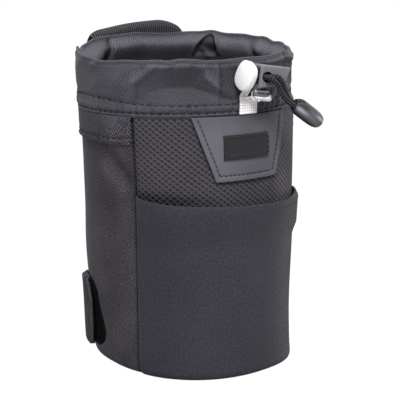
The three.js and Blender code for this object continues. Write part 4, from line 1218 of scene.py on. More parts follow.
class POUCH_OT_cords(bpy.types.Operator):
    """Makes the two free drawcord ends, the cord end on them and the run in the collar's tunnel"""

    bl_idname = "pouch.cords"
    bl_label = "Drawcord"

    def execute(self, context):
        lines, sideways, along, end_start = tail_lines()
        end = self.cord_end(end_start, along)
        for name, line in zip(("left", "right"), lines):
            cord = tube(f"drawcord_{name}", line, sideways, CORD_DIAMETER / 2, 14, finish_of("cord"))
            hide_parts(f"drawcord_tail_{name}")
            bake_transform(cord)
            tuple(line[0] * MM)
            (line * MM).tolist()
        self.run_in_tunnel()
        return {"FINISHED"}

    def cord_end(self, start, along):
        """Moulded capsule: a round shoulder, an even body and a round tip with a seam groove, with painted
        shade
            at its sides and shoulder and two painted highlight streaks."""
        t = np.concatenate([np.linspace(0, 0.9, 60), 0.9 + 0.1 * np.sin(np.linspace(0, np.pi / 2, 14)[1:])])
        body = 3.9 * (1 - 0.42 * (1 - np.clip(t / 0.24, 0, 1)) ** 2.4) - 0.3 * smooth(0.6, 0.9, t)
        tip = np.sqrt(np.clip(1 - np.clip((t - 0.76) / 0.24, 0, 1) ** 2.8, 0.02, 1))
        radius = body * tip - 0.2 * bell(t, 0.86, 0.014)
        path = start + along * (0.3 + 18.0 * t)[:, None] + [0.0, 0.0, 0.6]
        piece = tube("cord_end_drop", path, [0.0, 1.0, 0.0], radius, 32, finish_of("cord_end"))
        out = mesh_points(piece) - start
        run = out @ along
        up = unit(out - run[:, None] * along) @ unit(np.array([0.635, -0.192, 0.75]))
        # Painted highlight streaks along the capsule, painted shade at its sides and at the shoulder
        near = 1 - smooth(3.5, 9.0, run)
        far = smooth(9.5, 14.5, run)
        light = 0.27 + (0.08 + 0.6 * near) * bell(up, -0.14, 0.18) - 0.2 * near * bell(up, 0.42, 0.2)
        light = light + far * (0.8 * bell(up, 0.44, 0.15) - 0.12 * bell(up, -0.02, 0.18))
        light = light * (1 - 0.75 * smooth(-0.5, -0.9, up)) * (1 - 0.8 * smooth(0.55, 0.85, up))
        paint_shade_and_light(piece, 1 - light * (0.4 + 0.6 * smooth(0.2, 1.2, run)))
        return settle(piece, "cord_lock", "dark_plastic", "cord_end")

    def run_in_tunnel(self):
        """Cord round the tunnel in the collar, with both ends turned out to the exit hole."""
        half = CORD_SPACING / 2
        exit_run = SEAM_RADIUS * math.asin(EXIT[0] / SEAM_RADIUS)
        run = np.linspace(exit_run + half + 2.4, 2 * HALF_GIRTH + exit_run - half - 2.4, 120)
        inside = wall_point(np.where(run > HALF_GIRTH, run - 2 * HALF_GIRTH, run), -2.6, EXIT[2])
        first = np.array([[EXIT[0] + half, -51.7, EXIT[2]], [EXIT[0] + half, -50.3, EXIT[2]]])
        last = first[::-1] - [CORD_SPACING, 0, 0]
        line = np.concatenate([first, inside, last])
        piece = tube("drawcord_in_tunnel", line, [0.0, 0.0, 1.0], CORD_DIAMETER / 2, 10, finish_of("cord"))
        settle(piece, "pouch", "cord_braid", "drawcord_run")


class POUCH_OT_padding(bpy.types.Operator):
    """Makes the foam and lining of the wall and the base"""

    bl_idname = "pouch.padding"
    bl_label = "Padding and lining"

    def execute(self, context):
        self.foam()
        self.lining()
        for name, offset, heights, finish, slot, node in (
            ("base_padding", -8.9, (1.6, 6.3), "foam", "foam", "base_foam"),
            ("base_lining_cloth", -7.6, (6.8, 7.35), "lining", "lining_cloth", "base_lining"),
            ("base_cloth", -4.6, (0.0, 1.1), "side", "nylon_twill", "base_panel"),
        ):
            piece, size = self.disc(name, offset, heights, finish)
            settle(piece, "pouch", slot, node)
            if node == "base_foam":
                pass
            else:
                size[0] * size[1] * 0.8
        return {"FINISHED"}

    def foam(self):
        """Tube of foam: a closed profile of offsets and heights, up the outside and down the inside, carried
        round the wall."""
        step = np.arange(1, 24)
        outside = np.stack([-1.75 + 0.1 * np.sin(step), 5 + 5.0 * step], -1)
        inside = np.stack([np.full(23, -7.1), 124 - 4.9 * step], -1)
        foot = [[-2.2, 2.2], [-1.7, 5]]
        top = [[-2.6, 124], [-6.4, 124]]
        profile = np.concatenate([foot, outside, top, inside, [[-7.0, 2.2]]])
        ring = np.linspace(-HALF_GIRTH, HALF_GIRTH, 160, endpoint=False)
        d, k = spread(ring, np.arange(len(profile)))
        points = wall_point(d, profile[k, 0], profile[k, 1])
        uv = np.zeros((len(ring) + 1, len(profile) + 1, 2))
        piece = weld(surface("wall_padding", points, uv, finish_of("foam"), closed=(True, True)))
        settle(piece, "pouch", "foam", "wall_foam")

    def lining(self):
        """Tube of lining inside the foam, with two slow waves."""
        d, z = spread(np.linspace(-HALF_GIRTH, HALF_GIRTH, 201), np.linspace(7.7, 124.6, 60))
        offset = -8.0 + 0.25 * np.sin(d / 6.0 + z / 25.0) - 0.2 * np.sin(z / 9.0 - d / 17.0)
        uv = np.stack([d, z], -1)
        points = wall_point(d, offset, z)[:-1]
        piece = surface("wall_lining_cloth", points, uv, finish_of("lining"), closed=(True, False))
        piece.data.flip_normals()
        thicken(piece, 0.5, 1.0)
        settle(piece, "pouch", "lining_cloth", "wall_lining")

    def disc(self, name, offset, heights, finish):
        """Disc with the wall's plan, and its width and length: rings from the middle to a rounded edge, below
        and above."""
        rings = 12
        low, high = heights
        edge = min(0.5 * (high - low), 1.2)
        turn = np.linspace(-np.pi / 2, np.pi / 2, 7)
        out = np.linspace(0, 1, rings)
        share = np.concatenate([out, np.ones(7), out[::-1]])
        inset = np.concatenate([np.full(rings, edge), edge * (1 - np.cos(turn)), np.full(rings, edge)])
        rise = np.concatenate([[0.0], smooth(0, 1, np.linspace(0, 1, 6))])
        rim_level = low + edge + edge * np.sin(turn) + (high - low - 2 * edge) * rise
        level = np.concatenate([np.full(rings, low), rim_level, np.full(rings, high)])
        d, k = spread(np.linspace(-HALF_GIRTH, HALF_GIRTH, 160, endpoint=False), np.arange(len(share)))
        rim = wall_point(d, offset - inset[k], BASE_EDGE)
        points = np.stack([rim[..., 0] * share[k], rim[..., 1] * share[k], level[k]], -1)
        uv = np.concatenate([points, points[:1]], 0)[..., :2]
        piece = weld(surface(name, points, uv, finish_of(finish), closed=(True, False)))
        return piece, flat_size(uv)


class POUCH_OT_panels(bpy.types.Operator):
    """Makes the front mesh, the sides, the yoke bands and the back"""

    bl_idname = "pouch.panels"
    bl_label = "Wall panels"

    def execute(self, context):
        mesh = finish_of("mesh")
        # The mesh's right end carries painted light
        front = wall_cloth("front_mesh", front_span, PANEL_TOP, mesh, -0.1, 0.5, (140, 120), right_painted_light=0.75)
        settle(front, "pouch", "air_mesh", "front_mesh_panel")
        side_top = YOKE_FOOT + 1.0
        for name, span in SIDE_SPANS.items():
            panel = wall_cloth(f"side_cloth_{name}", span, side_top, finish_of("side"), 0.0, 1.3, (110, 110))
            settle(panel, "pouch", "nylon_twill", f"{name}_side_panel")
            yoke = self.yoke(f"yoke_cloth_{name}", *span(SEAM_HEIGHT))
            settle(yoke, "pouch", "nylon_twill", f"{name}_yoke_band")
        settle(self.back(), "pouch", "nylon_twill", "back_panel")
        return {"FINISHED"}

    def yoke(self, name, left, right):
        """Band over the top of a side, with painted shade in its seams and painted light near the left front
            seam.
        """
        d, z = spread(ease(left, right, 110, 0.8), ease(YOKE_FOOT - 0.2, SEAM_HEIGHT - 0.1, 60, 0.5))
        uv = np.stack([d, z], -1)
        points = wall_point(d, yoke_offset(d, z, left, right), z)
        piece = thicken(surface(name, points, uv, finish_of("yoke")), CLOTH_THICKNESS)
        # Painted light near the left front seam, and a small spot of painted shade right beside the seam
        lighter = 0.3 * bell(d, -66.0, 7.0) - 0.3 * bell(d, -59.0, 1.6) * bell(z, 121.0, 2.4)
        paint_shade_and_light(piece, seam_painted_shade(d, left, right) - lighter)
        return piece

    def back(self):
        """Flat back, drawn in at its two seams."""
        half = HALF_GIRTH - BACK_SEAM
        across, z = spread(ease(-half, half, 60, 0.8), ease(PANEL_FOOT, PANEL_TOP, 90, 0.6))
        around = np.where(across < 0, -HALF_GIRTH - across, HALF_GIRTH - across)
        offset = 0.8 * slow_waves(across, z) * smooth(0, 10, half - np.abs(across)) - 0.1
        offset = offset + drawn_in(across, (-half, half), 1.0, 1.1)
        uv = np.stack([across, z], -1)
        piece = surface("back_cloth", wall_point(around, offset, z), uv, finish_of("side"))
        piece.data.flip_normals()
        thicken(piece, CLOTH_THICKNESS)
        return piece


class POUCH_OT_pocket(bpy.types.Operator):
    """Makes the stretch pocket over the lower front"""

    bl_idname = "pouch.pocket"
    bl_label = "Stretch pocket"

    def execute(self, context):
        flare = context.scene.pouch_sewing.flare / MM
        across, t = spread(ease(-1, 1, 150, 0.7), np.concatenate([ease(0, 0.995, 110, 0.5), [1.0]]))
        z = PANEL_FOOT + (pocket_mouth(across * FRONT_SEAM) - PANEL_FOOT) * t
        half = front_edge(z)
        d = across * half
        seams = drawn_in(d, (-half,), 1.9, 0.8) + drawn_in(d, (half,), 1.2, 1.0)
        hem = 0.25 * smooth(0.93, 0.97, t) - 0.5 * smooth(0.992, 1.0, t)
        points = wall_point(d, pocket_offset(d, z, flare) + seams + hem, z)
        uv = np.stack([d, z], -1)
        piece = surface("pocket_knit", points, uv, finish_of("knit"))
        thicken(piece, CLOTH_THICKNESS)
        # Painted shade on the pocket's left and painted light in its middle
        paint_shade_and_light(piece, 0.1 * smooth(-28.0, -48.0, d) - 0.1 * bell(d, -8.0, 20.0))
        settle(piece, "pouch", "stretch_knit", "stretch_pocket")
        return {"FINISHED"}


class POUCH_OT_badge(bpy.types.Operator):
    """Makes the badge with its raised border and the bare label sewn on it"""

    bl_idname = "pouch.badge"
    bl_label = "Badge and label"

    def execute(self, context):
        settle(self.badge(), "pouch", "coated_badge", "badge_panel")
        settle(self.label(), "pouch", "label_rubber", "label_patch")
        return {"FINISHED"}

    def badge(self):
        """Trapezoid with a border raised along its foot and both sides, a groove in it and a full middle."""
        u, v = spread(np.linspace(-1, 1, 181), np.linspace(0, 1, 121))
        half = BADGE_HALF_BOTTOM + (BADGE_HALF_TOP - BADGE_HALF_BOTTOM) * v
        lean = math.hypot(1.0, (BADGE_HALF_TOP - BADGE_HALF_BOTTOM) / BADGE_HEIGHT)
        edge = np.minimum((1 - np.abs(u)) * half / lean, v * BADGE_HEIGHT)
        border = 0.55 * smooth(0, 0.5, edge) * (1 - smooth(2.0, 2.5, edge)) - 0.28 * bell(edge, 2.9, 0.35)
        height = 0.5 + 0.65 * smooth(0, 0.35, edge) + border + 0.25 * smooth(3, 12, edge)
        z = BADGE_TOP - BADGE_HEIGHT + (BADGE_HEIGHT + 0.2) * v
        uv = np.stack([u * half, z], -1)
        points = wall_point(u * half + badge_shift(z), height + badge_bulge(z), z)
        piece = thicken(surface("badge_plate", points, uv, finish_of("badge")), 0.5)
        # Painted shade at the badge's top under the collar and painted light on its left
        return paint_shade_and_light(piece, 0.26 * smooth(0.7, 1.0, v) - 0.25 * smooth(0.2, -0.7, u))

    def label(self):
        """Bare moulded patch: a rounded rim round a slightly sunk field."""
        width, tall = LABEL_HALF_WIDTH, LABEL_HALF_HEIGHT
        x, y = spread(ease(-width, width, 97, 0.4), ease(-tall, tall, 61, 0.4))
        edge = np.minimum(width - np.abs(x), tall - np.abs(y))
        height = 0.9 * np.sqrt(np.clip(1 - (1 - np.clip(edge / 0.7, 0, 1)) ** 2, 0, 1))
        height = height - 0.22 * smooth(1.9, 2.3, edge) - 0.12 * bell(edge, 1.3, 0.3)
        z = LABEL_MIDDLE + y
        points = wall_point(x + badge_shift(LABEL_MIDDLE) - 0.5, 1.75 + height + badge_bulge(z), z)
        return thicken(surface("label_plate", points, np.stack([x, y], -1), finish_of("label")), 0.4)


class POUCH_OT_collar(bpy.types.Operator):
    """Makes the collar, folded over at its rim, and the patch round the cord's exit"""

    bl_idname = "pouch.collar"
    bl_label = "Collar"

    def execute(self, context):
        depth = context.scene.pouch_sewing.crease / MM
        settle(self.collar(depth), "pouch", "collar_nylon", "collar")
        settle(self.patch(depth), "pouch", "collar_nylon", "cord_exit_patch")
        return {"FINISHED"}

    def collar(self, depth):
        """Collar all round: a grid of distances and steps up, over and down, with the exit hole in front."""
        steps = np.concatenate([ease(0, 1, 70, 0.5), np.linspace(1, 2, 10)[1:-1], ease(2, 3, 60, 0.4)])
        d, t = spread(np.linspace(-HALF_GIRTH, HALF_GIRTH, 641), steps)
        points, run = collar_points(d, t, depth)
        uv = np.stack([d, run], -1)
        hole = exit_hole(points, 3.6, 1.9) & (points[..., 1] < -40) & (t <= 1)
        keep = ~hole[:-1, :-1]
        finish = finish_of("collar")
        piece = surface("collar_cloth", points[:-1], uv, finish, closed=(True, False), keep=keep)
        # Painted shade in the collar's folds, hollows and inside, and painted light on its ridges
        paint_shade_and_light(piece, collar_painted_shade(d, points[..., 2], t)[:-1])
        return piece

    def patch(self, depth):
        """Smooth patch that follows the collar, turned under at its edges, with the exit hole."""
        d, z = spread(ease(PATCH_LEFT, PATCH_RIGHT, 90, 0.5), ease(PATCH_FOOT, PATCH_TOP, 60, 0.5))
        edge = np.minimum(d - PATCH_LEFT, PATCH_RIGHT - d)
        lift = 0.15 + 0.4 * smooth(0, 0.8, edge) * smooth(0, 2, PATCH_TOP - z) * smooth(0, 2, z - PATCH_FOOT)
        points = on_collar(d, z, depth, lift - 0.15 * bell(edge, 1.5, 0.4))
        uv = np.stack([d, z], -1)
        keep = ~exit_hole(points, 3.4, 1.8)[:-1, :-1]
        piece = thicken(surface("exit_patch", points, uv, finish_of("patch"), keep=keep), 0.4)
        return piece


class POUCH_OT_lock(bpy.types.Operator):
    """Makes the cord lock's barrel, foot, button and plunger, and gives its spring a finish"""

    bl_idname = "pouch.lock"
    bl_label = "Cord lock"

    def execute(self, context):
        settle(self.barrel(), "cord_lock", "dark_plastic", "lock_barrel")
        settle(self.foot(), "cord_lock", "dark_plastic")
        settle(self.button(), "button", "white_plastic", "lock_button")
        settle(self.neck(), "button", "dark_plastic")
        settle(self.arms(), "button", "dark_plastic")
        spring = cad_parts["lock_spring"]
        spring.data.materials.clear()
        spring.data.materials.append(finish_of("spring"))
        return {"FINISHED"}

    def barrel(self):
        """Rounded block with an oval cord hole through it and a square bore for the plunger."""
        body = self.block("lock_barrel_body", ends=(-8.5, 7.65), half_depth=4.5, half_height=5.3, corner=1.2)
        cutters = [
            self.cutter((-4.9, -7.0, 0), (-4.9, 7.0, 0), (1, 0, 0), 2.9, 28, 0.8),
            self.cutter((-9.5, 0, 0), (-0.5, 0, 0), (0, 0.7071, 0.7071), 4.24, 4, 1.2),
        ]
        for cutter in cutters:
            cut = body.modifiers.new("opening", "BOOLEAN")
            cut.object = cutter
            cut.solver = "EXACT"
        graph = bpy.context.evaluated_depsgraph_get()
        solid = bpy.data.meshes.new_from_object(body.evaluated_get(graph))
        solid.polygons.foreach_set("use_smooth", np.ones(len(solid.polygons), bool))
        body.modifiers.clear()
        body.data = solid
        for cutter in cutters:
            bpy.data.objects.remove(cutter)
        edge = body.modifiers.new("edges", "BEVEL")
        edge.width = 0.35 * MM
        edge.segments = 2
        edge.angle_limit = math.radians(38)
        return body

    def cutter(self, start, end, sideways, radius, sides, tall):
        """Bar between two points on the lock's axes, its height scaled, that is taken out of the barrel."""
        path = lock_point(np.linspace(start, end, 3))
        piece = tube("cutter", path, LOCK_TURN @ sideways, radius, sides, finish_of("moulding"))
        local = (mesh_points(piece) - LOCK_AT) @ LOCK_TURN
        local[:, 2] *= tall
        piece.data.vertices.foreach_set("co", (lock_point(local) * MM).astype(np.float32).ravel())
        return piece

    def block(self, name, ends, half_depth, half_height, corner):
        """Rounded block along the lock's axis: a round-cornered section that shrinks in a quarter circle at
        its ends, tapers upwards to the far end and is cut on the slant there."""
        turn = np.linspace(0, np.pi / 2, 8)
        close = 0.9 * (1 - np.cos(turn))
        x = np.concatenate([ends[0] + close, ends[1] - close[::-1]])
        inset = 0.9 * (1 - np.sin(turn))
        inset = np.concatenate([inset, inset[::-1]])
        angle = np.concatenate([q * np.pi / 2 + np.linspace(0, np.pi / 2, 9) for q in range(4)])
        signs = np.repeat([[1, 1], [-1, 1], [-1, -1], [1, -1]], 9, axis=0)
        y = signs[:, 0] * (half_depth - corner) + corner * np.cos(angle)
        z = signs[:, 1] * (half_height - corner) + corner * np.sin(angle)
        shrink_y = (half_depth - inset) / half_depth
        shrink_z = (half_height - inset) / half_height
        run = smooth(ends[0], ends[1], x)[:, None]
        height = half_height - (half_height - shrink_z[:, None] * z) * (1 - 0.26 * run)
        local = np.stack([x[:, None] + 0.24 * run * (z - half_height), shrink_y[:, None] * y, height], -1)
        middle = local[[0, -1]].mean(1, keepdims=True)
        cap = middle + 1e-4 * (local[[0, -1]] - middle)
        local = np.concatenate([cap[:1], local, cap[1:]])
        uv = np.zeros((len(local), len(y) + 1, 2))
        return weld(surface(name, lock_point(local), uv, finish_of("moulding"), closed=(False, True)))

    def foot(self):
        """Round bar bent to a loop below the barrel, for the ribbon."""
        bends = [
            [-7.0, 0, -4.0], [-7.2, 0, -6.2], [-6.9, 0, -7.8], [-5.6, 0, -8.3], [-2.6, 0, -8.35],
            [0.9, 0, -8.3], [2.3, 0, -7.7], [2.7, 0, -5.6], [2.4, 0, -2.0],
        ]
        path = lock_point(curve_through(bends, 60))
        return tube("lock_foot", path, [0.0, 1.0, 0.0], 1.2, 14, finish_of("moulding"))

    def button(self):
        """Oval button turned about its own axis: a full face, a rounded rim and a flat back."""
        inner = -11.3
        outer = -15.65
        turned = math.radians(28)
        turn = np.linspace(0, np.pi / 2, 9)
        face = np.linspace(0, 1, 12)[:-1]
        rim_r = 0.86 + 0.14 * np.sin(turn)
        rim_x = outer + 0.5 + 1.1 * (1 - np.cos(turn))
        back_r = 1 - 0.1 * np.sin(turn[1:])
        back_x = inner - 0.9 + 0.9 * np.sin(turn[1:])
        r = np.concatenate([face * 0.86, rim_r, back_r, [0.5, 0.02]])
        x = np.concatenate([outer + 0.5 * face**2, rim_x, back_x, [inner, inner]])
        angle = np.linspace(0, 2 * np.pi, 64, endpoint=False)
        wide = 5.7 * np.sign(np.cos(angle)) * np.abs(np.cos(angle)) ** 0.76
        tall = 6.5 * np.sign(np.sin(angle)) * np.abs(np.sin(angle)) ** 0.76
        y = wide * math.cos(turned) - tall * math.sin(turned)
        z = wide * math.sin(turned) + tall * math.cos(turned)
        depth = np.broadcast_to(x[:, None], (len(x), len(angle)))
        local = np.stack([depth, r[:, None] * y, r[:, None] * z - 0.6], -1)
        uv = np.zeros((len(x), len(angle) + 1, 2))
        finish = finish_of("button")
        return weld(surface("lock_button_cap", lock_point(local), uv, finish, closed=(False, True)))

    def neck(self):
        """Round plunger behind the button, black as painted shade for the dark gap there."""
        path = lock_point(np.linspace((-12.0, 0, 0), (-10.0, 0, 0), 4))
        return tube("lock_plunger", path, LOCK_TURN[:, 1], 2.7, 24, finish_of("neck"))

    def arms(self):
        """Two arms of the plunger, bent from one strip, that pass above and below the cord."""
        fork = [
            [-3.2, 0, 2.85], [-7.0, 0, 2.85], [-10.6, 0, 2.75], [-11.5, 0, 1.6], [-11.6, 0, 0],
            [-11.5, 0, -1.6], [-10.6, 0, -2.75], [-7.0, 0, -2.85], [-3.2, 0, -2.85],
        ]
        path = lock_point(curve_through(fork, 60))
        side = np.broadcast_to(LOCK_TURN[:, 1], path.shape)
        normal = np.cross(unit(np.gradient(path, axis=0)), side)
        return strap("lock_plunger_arms", path, side, normal, 5.4, 0.9, finish_of("neck"), columns=6)


class POUCH_OT_ribbon(bpy.types.Operator):
    """Makes the woven ribbon that ties the cord lock to the seam"""

    bl_idname = "pouch.ribbon"
    bl_label = "Ribbon"

    def execute(self, context):
        sewn_at = np.array([-1.0, -SEAM_FRONT_DEPTH - 1.75, SEAM_HEIGHT])
        settle(self.tab(sewn_at), "pouch", "white_ribbon", "anchor_ribbon")
        settle(self.loose_end(sewn_at), "pouch", "white_ribbon")
        return {"FINISHED"}

    def band(self, name, path, side, width, thickness, columns=24):
        """Ribbon along a path, turned by its side vectors."""
        along = unit(np.gradient(path, axis=0))
        side = square_to(side, along)
        normal = np.cross(side, along)
        return strap(name, path, side, normal, width, thickness, finish_of("ribbon"), columns)

    def tab(self, sewn_at):
        """Tab that rises from the seam, is pinched and runs round the lock's foot."""
        foot = lock_point(np.array([-3.6, 0, -8.3]))
        rise = sewn_at + np.array([[0, 0, 0.3], [0, -0.15, 3.0], [0.1, -0.25, 6.0], [0.4, -0.7, 8.0]])
        angle = np.radians(np.linspace(-30, -300, 14))
        ring = foot + 2.0 * np.stack([0 * angle, -np.cos(angle), np.sin(angle)], -1)
        path = curve_through(np.concatenate([rise, ring]), 120)
        share = np.linspace(0, 1, 120)
        over = smooth(0.36, 0.5, share)
        width = 9.4 * (1 - over) + 8.2 * over - 4.0 * bell(share, 0.42, 0.07)
        roll = over * LOCK_ROLL
        side = np.stack([np.cos(roll), 0 * roll, -np.sin(roll)], -1)
        return self.band("ribbon_tab", path, side, width, 0.7)

    def loose_end(self, sewn_at):
        """Narrow folded strip of the ribbon that rises from the tab's upper corner behind the button."""
        bends = np.array([[-3.8, -0.5, 7.0], [-3.5, -1.3, 8.8], [-2.4, -2.0, 10.6], [-1.0, -2.2, 12.0]])
        path = curve_through(sewn_at + bends, 30)
        side = np.broadcast_to([0.75, -0.6, -0.3], path.shape)
        width = 2.2 + 1.0 * np.sin(np.linspace(0, np.pi, 30))
        return self.band("ribbon_strip", path, side, width, 0.6, columns=8)


class POUCH_OT_webbing(bpy.types.Operator):
    """Makes the belt strap, its anchor and tapes, the grab loop and the side loops"""

    bl_idname = "pouch.webbing"
    bl_label = "Webbing"

    def execute(self, context):
        self.belt_strap()
        self.grab_loop()
        for name, side in (("left", -1), ("right", 1)):
            self.side_loop(name, side)
            self.side_shadow_pile(name, side)
        return {"FINISHED"}

    def upright(self, name, out, up, width, finish, thickness=WEB_THICKNESS):
        """Strap behind the pouch that follows a line of distances from the back and heights."""
        path = np.stack([0 * up, BACK_DEPTH + out + 0 * up, up], -1)
        along = unit(np.gradient(path, axis=0))
        side = np.broadcast_to([1.0, 0.0, 0.0], path.shape)
        normal = np.cross(along, side)
        return strap(name, path, side, normal, width, thickness, finish_of(finish), columns=40)

    def belt_strap(self):
        """Strap that leaves its anchor, stands off for the belt and lies on its tapes below."""
        up = np.linspace(*STRAP_SPAN, 90)
        sewn = smooth(STRAP_SPAN[0] - 15, STRAP_SPAN[0], up)
        taped = 1 - smooth(TAPE_SPAN[0], TAPE_SPAN[0] + 14, up)
        tunnel = STRAP_OUT_BELT + (STRAP_OUT_SEWN - STRAP_OUT_BELT) * sewn
        out = tunnel + (STRAP_OUT_TAPE - tunnel) * taped
        belt = self.upright("belt_strap_web", out, up, STRAP_WIDTH, "webbing")
        settle(belt, "strap", "webbing", "belt_strap")
        tape_up = np.linspace(*TAPE_SPAN, 24)
        for name, tape_out, body in (("loop", 0.7, "pouch"), ("hook", 1.8, "strap")):
            tape = self.upright(f"{name}_tape", tape_out, tape_up, TAPE_WIDTH, "tape", 0.8)
            settle(tape, body, "hook_and_loop", f"{name}_patch")
        anchor_up = np.linspace(*ANCHOR_SPAN, 12)
        anchor = self.upright("strap_anchor_web", ANCHOR_OUT, anchor_up, STRAP_WIDTH, "webbing")
        settle(anchor, "pouch", "webbing", "strap_anchor")

    def grab_loop(self):
        """Webbing doubled over above the rim: its fold is high right of the middle and low at both ends."""
        inner = ANCHOR_OUT
        outer = 7.05
        fold = (outer - inner) / 2
        angle = np.linspace(np.pi, 0, 16)
        top = np.stack([inner + fold + fold * np.cos(angle), GRAB_TOP - fold + fold * np.sin(angle)], -1)
        ramp = np.linspace(0, 1, 10)
        down = np.stack([outer + (2.85 - outer) * smooth(0, 1, ramp), 140.6 - 15.0 * ramp], -1)
        rise = [[inner, 125.6], [inner, 133], [inner, 140.6], [inner, 150]]
        line = curve_through(np.concatenate([rise, top, [[outer, 150]], down]), 120)
        x, k = spread(np.linspace(GRAB_LEFT, GRAB_RIGHT, 45), np.arange(120))
        out, up = line[k, 0], line[k, 1]
        drop = np.where(x < 13, 4.0 * (np.abs(13 - x) / 41) ** 1.6, 4.9 * ((x - 13) / 15) ** 2)
        left_corner = 2.4 * (np.clip(-x - 20.0, 0, 7) / 7) ** 2.5 + 0.6 * smooth(2, 22, -x)
        corner = left_corner + 1.0 * smooth(25, GRAB_RIGHT, x)
        level = up - smooth(140, 162, up) * (drop + corner)
        edge = np.clip(np.minimum(GRAB_RIGHT - x, x - GRAB_LEFT) / (WEB_THICKNESS / 2), 0, 1)
        half = WEB_THICKNESS / 2 * np.sqrt(1 - (1 - edge) ** 2) + 1e-3
        along = unit(np.gradient(line, axis=0))[k]
        middle = np.stack([x, BACK_DEPTH + out, level], -1)
        lift = half[..., None] * np.stack([0 * x, -along[..., 1], along[..., 0]], -1)
        grid = np.concatenate([middle + lift, (middle - lift)[::-1]], 0)
        across = np.concatenate([x[:, 0], x[::-1, 0], x[:1, 0]])
        uv = np.stack(spread(across, np.linspace(0, 78, 120)), -1)
        piece = surface("grab_loop_web", grid, uv, finish_of("webbing"), closed=(True, False))
        settle(mend(piece, merge=3e-6, fill=True), "pouch", "webbing", "grab_loop")

    def side_loop(self, name, side):
        """Webbing loop that follows the side, with a rounded front edge, turned in at its top and bottom."""
        low, high = SIDE_LOOP_SPAN
        t, z = spread(np.linspace(0, 1, 40), ease(low, high, 70, 0.6))
        front = np.interp(z, [low, 9, 17, 31, 39, high], [95.0, 92.0, 90.8, 90.8, 93.5, 97.0])
        d = front + (SIDE_LOOP_BACK - front) * t
        ends = smooth(0, 1.2, z - low + 0.4) * smooth(0, 2.6, high + 0.4 - z)
        selvedge = smooth(0, 1, np.minimum(d - front, SIDE_LOOP_BACK - d)) - bell(d - front, 2.6, 0.5)
        offset = 0.6 + ends * (3.8 - smooth(8, 40, z)) + 0.25 * selvedge + fullness(d, z)
        points = wall_point(side * d, offset, z)
        uv = np.stack([d - front, z], -1)
        piece = surface(f"side_loop_web_{name}", points, uv, finish_of("webbing"))
        settle(self.outward(piece, side, 1.4), "pouch", "webbing", f"side_loop_{name}")

    def side_shadow_pile(self, name, side):
        """Patch of black pile under a side loop, also painted shade for the gap under the loop: it widens
            downwards, is full behind and tufted in front.
        """
        low, high = PILE_SPAN
        t, z = spread(np.linspace(0, 1, 50), np.linspace(low, high, 70))
        levels = [low, 8, 11.5, 17.2, 23, 30, 37, 40, high]
        front = np.interp(z, levels, [93, 88, 83.6, 81.2, 82.4, 84.6, 86, 89, 94])
        d = front + (PILE_BACK - front) * t
        rim = np.minimum.reduce([d - front, PILE_BACK - d, z - low, high - z])
        pile = 0.8 * smooth(0, 1.6, rim) + 2.0 * smooth(93, 98, d) * smooth(0, 1.5, rim)
        tufts = 0.3 * np.sin(d * 5.1) * np.sin(z * 4.3) * smooth(0, 2, rim) * smooth(91, 87, d)
        points = wall_point(side * d, 0.2 + pile + tufts + fullness(d, z), z)
        piece = surface(f"side_loop_shadow_pile_{name}", points, np.stack([d, z], -1), finish_of("tape"))
        settle(self.outward(piece, side, 0.8), "pouch", "hook_and_loop")

    def outward(self, piece, side, thickness):
        """Cloth on one side of the wall with its faces turned outwards and its thickness."""
        if side < 0:
            piece.data.flip_normals()
        return thicken(piece, thickness)


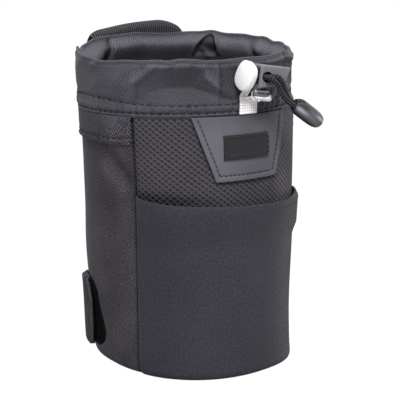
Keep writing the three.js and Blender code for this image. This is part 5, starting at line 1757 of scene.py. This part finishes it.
class POUCH_OT_stitching(bpy.types.Operator):
    """Sews the visible rows of stitches on the collar, yokes, badge, label and exit patch"""

    bl_idname = "pouch.stitching"
    bl_label = "Stitching"

    def execute(self, context):
        sewing = context.scene.pouch_sewing
        depth = sewing.crease / MM
        ring = np.linspace(-HALF_GIRTH, HALF_GIRTH, 1200)
        for name, z in (("lower", np.full(1200, SEAM_HEIGHT + 1.6)), ("upper", band_top(ring))):
            self.row(f"collar_stitches_{name}", on_collar(ring, z, depth, 0.0), ring, sewing)
        for name, span in SIDE_SPANS.items():
            left, right = span(SEAM_HEIGHT)
            d = np.linspace(left + 3.0, right - 3.0, 300)
            for level, height in (("low", YOKE_FOOT + 1.1), ("high", YOKE_FOOT + 3.2)):
                line = wall_point(d, yoke_offset(d, height, left, right), height)
                self.row(f"yoke_stitches_{name}_{level}", line, d, sewing)
        self.badge_rows(sewing)
        self.label_rows(sewing)
        z = np.linspace(134.5, 147.0, 60)
        d = np.full(60, PATCH_LEFT + 1.2)
        self.row("patch_stitches", on_collar(d, z, depth, 0.5), d, sewing)
        return {"FINISHED"}

    def row(self, name, line, d, sewing, fine=1.0):
        """Stitches along a line that lies on the wall at given distances, shorter and thinner where fine is
        less."""
        starts, ends = stitch_ends(line, sewing, fine)
        middle = (starts + ends) / 2
        near = d[np.argmin(np.linalg.norm(line[None] - middle[:, None], axis=-1), 1)]
        thread = fine * sewing.thread / MM
        piece = stitches(name, starts, ends, wall_outward(near, middle[:, 2]), finish_of("thread"), thread)
        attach(piece, "pouch")

    def badge_rows(self, sewing):
        """Rows inside the badge's border."""
        inset = 2.9
        low = BADGE_TOP - BADGE_HEIGHT + inset
        half_low = BADGE_HALF_BOTTOM - inset * 0.75
        half_top = BADGE_HALF_TOP - inset * 1.04
        v = np.linspace(0, 1, 90)
        up = low + (BADGE_TOP - 0.5 - low) * v
        half = half_low + (half_top - half_low) * v
        for name, across, z in (
            ("left", -half, up), ("right", half, up), ("low", half_low * (2 * v - 1), np.full(90, low))
        ):
            d = across + badge_shift(z)
            self.row(f"badge_stitches_{name}", wall_point(d, 1.0 + badge_bulge(z), z), d, sewing, 0.6)

    def label_rows(self, sewing):
        """Rows round the label's field."""
        v = np.linspace(-1, 1, 90)
        across = (LABEL_HALF_WIDTH - 0.9) * v
        side = np.full(90, LABEL_HALF_WIDTH - 0.8)
        high = np.full(90, LABEL_HALF_HEIGHT - 1.3)
        up = high * v
        for name, x, y in (
            ("top", across, high), ("low", across, -high), ("left", -side, up), ("right", side, up)
        ):
            d = x + badge_shift(LABEL_MIDDLE)
            z = LABEL_MIDDLE + y
            self.row(f"label_stitches_{name}", wall_point(d, 2.5 + badge_bulge(z), z), d, sewing, 0.6)


OPERATORS = (
    POUCH_OT_stage, POUCH_OT_cords, POUCH_OT_padding, POUCH_OT_panels, POUCH_OT_pocket, POUCH_OT_badge,
    POUCH_OT_collar, POUCH_OT_lock, POUCH_OT_ribbon, POUCH_OT_webbing, POUCH_OT_stitching,
)


class VIEW3D_PT_pouch(bpy.types.Panel):
    """Lists the pouch's pieces, colours and sewing sizes"""

    bl_idname = "VIEW3D_PT_pouch"
    bl_label = "Lens Pouch"
    bl_space_type = "VIEW_3D"
    bl_region_type = "UI"
    bl_category = "Pouch"

    def draw(self, context):
        for operator in OPERATORS:
            self.layout.operator(operator.bl_idname)
        for group in (context.scene.pouch_colours, context.scene.pouch_sewing):
            for key in group.__annotations__:
                self.layout.prop(group, key)


CLASSES = (PouchColours, PouchSewing, *OPERATORS, VIEW3D_PT_pouch)


def register():
    """Registers the classes and hangs the two groups of properties on the scene."""
    for item in CLASSES:
        bpy.utils.register_class(item)
    bpy.types.Scene.pouch_colours = PointerProperty(type=PouchColours)
    bpy.types.Scene.pouch_sewing = PointerProperty(type=PouchSewing)


def unregister():
    """Undoes what register does."""
    del bpy.types.Scene.pouch_sewing
    del bpy.types.Scene.pouch_colours
    for item in reversed(CLASSES):
        bpy.utils.unregister_class(item)


def main():
    """Registers the classes and makes every piece in order."""
    register()
    for operator in OPERATORS:
        group, name = operator.bl_idname.split(".")
        getattr(getattr(bpy.ops, group), name)()


if __name__ == "__main__":
    main()
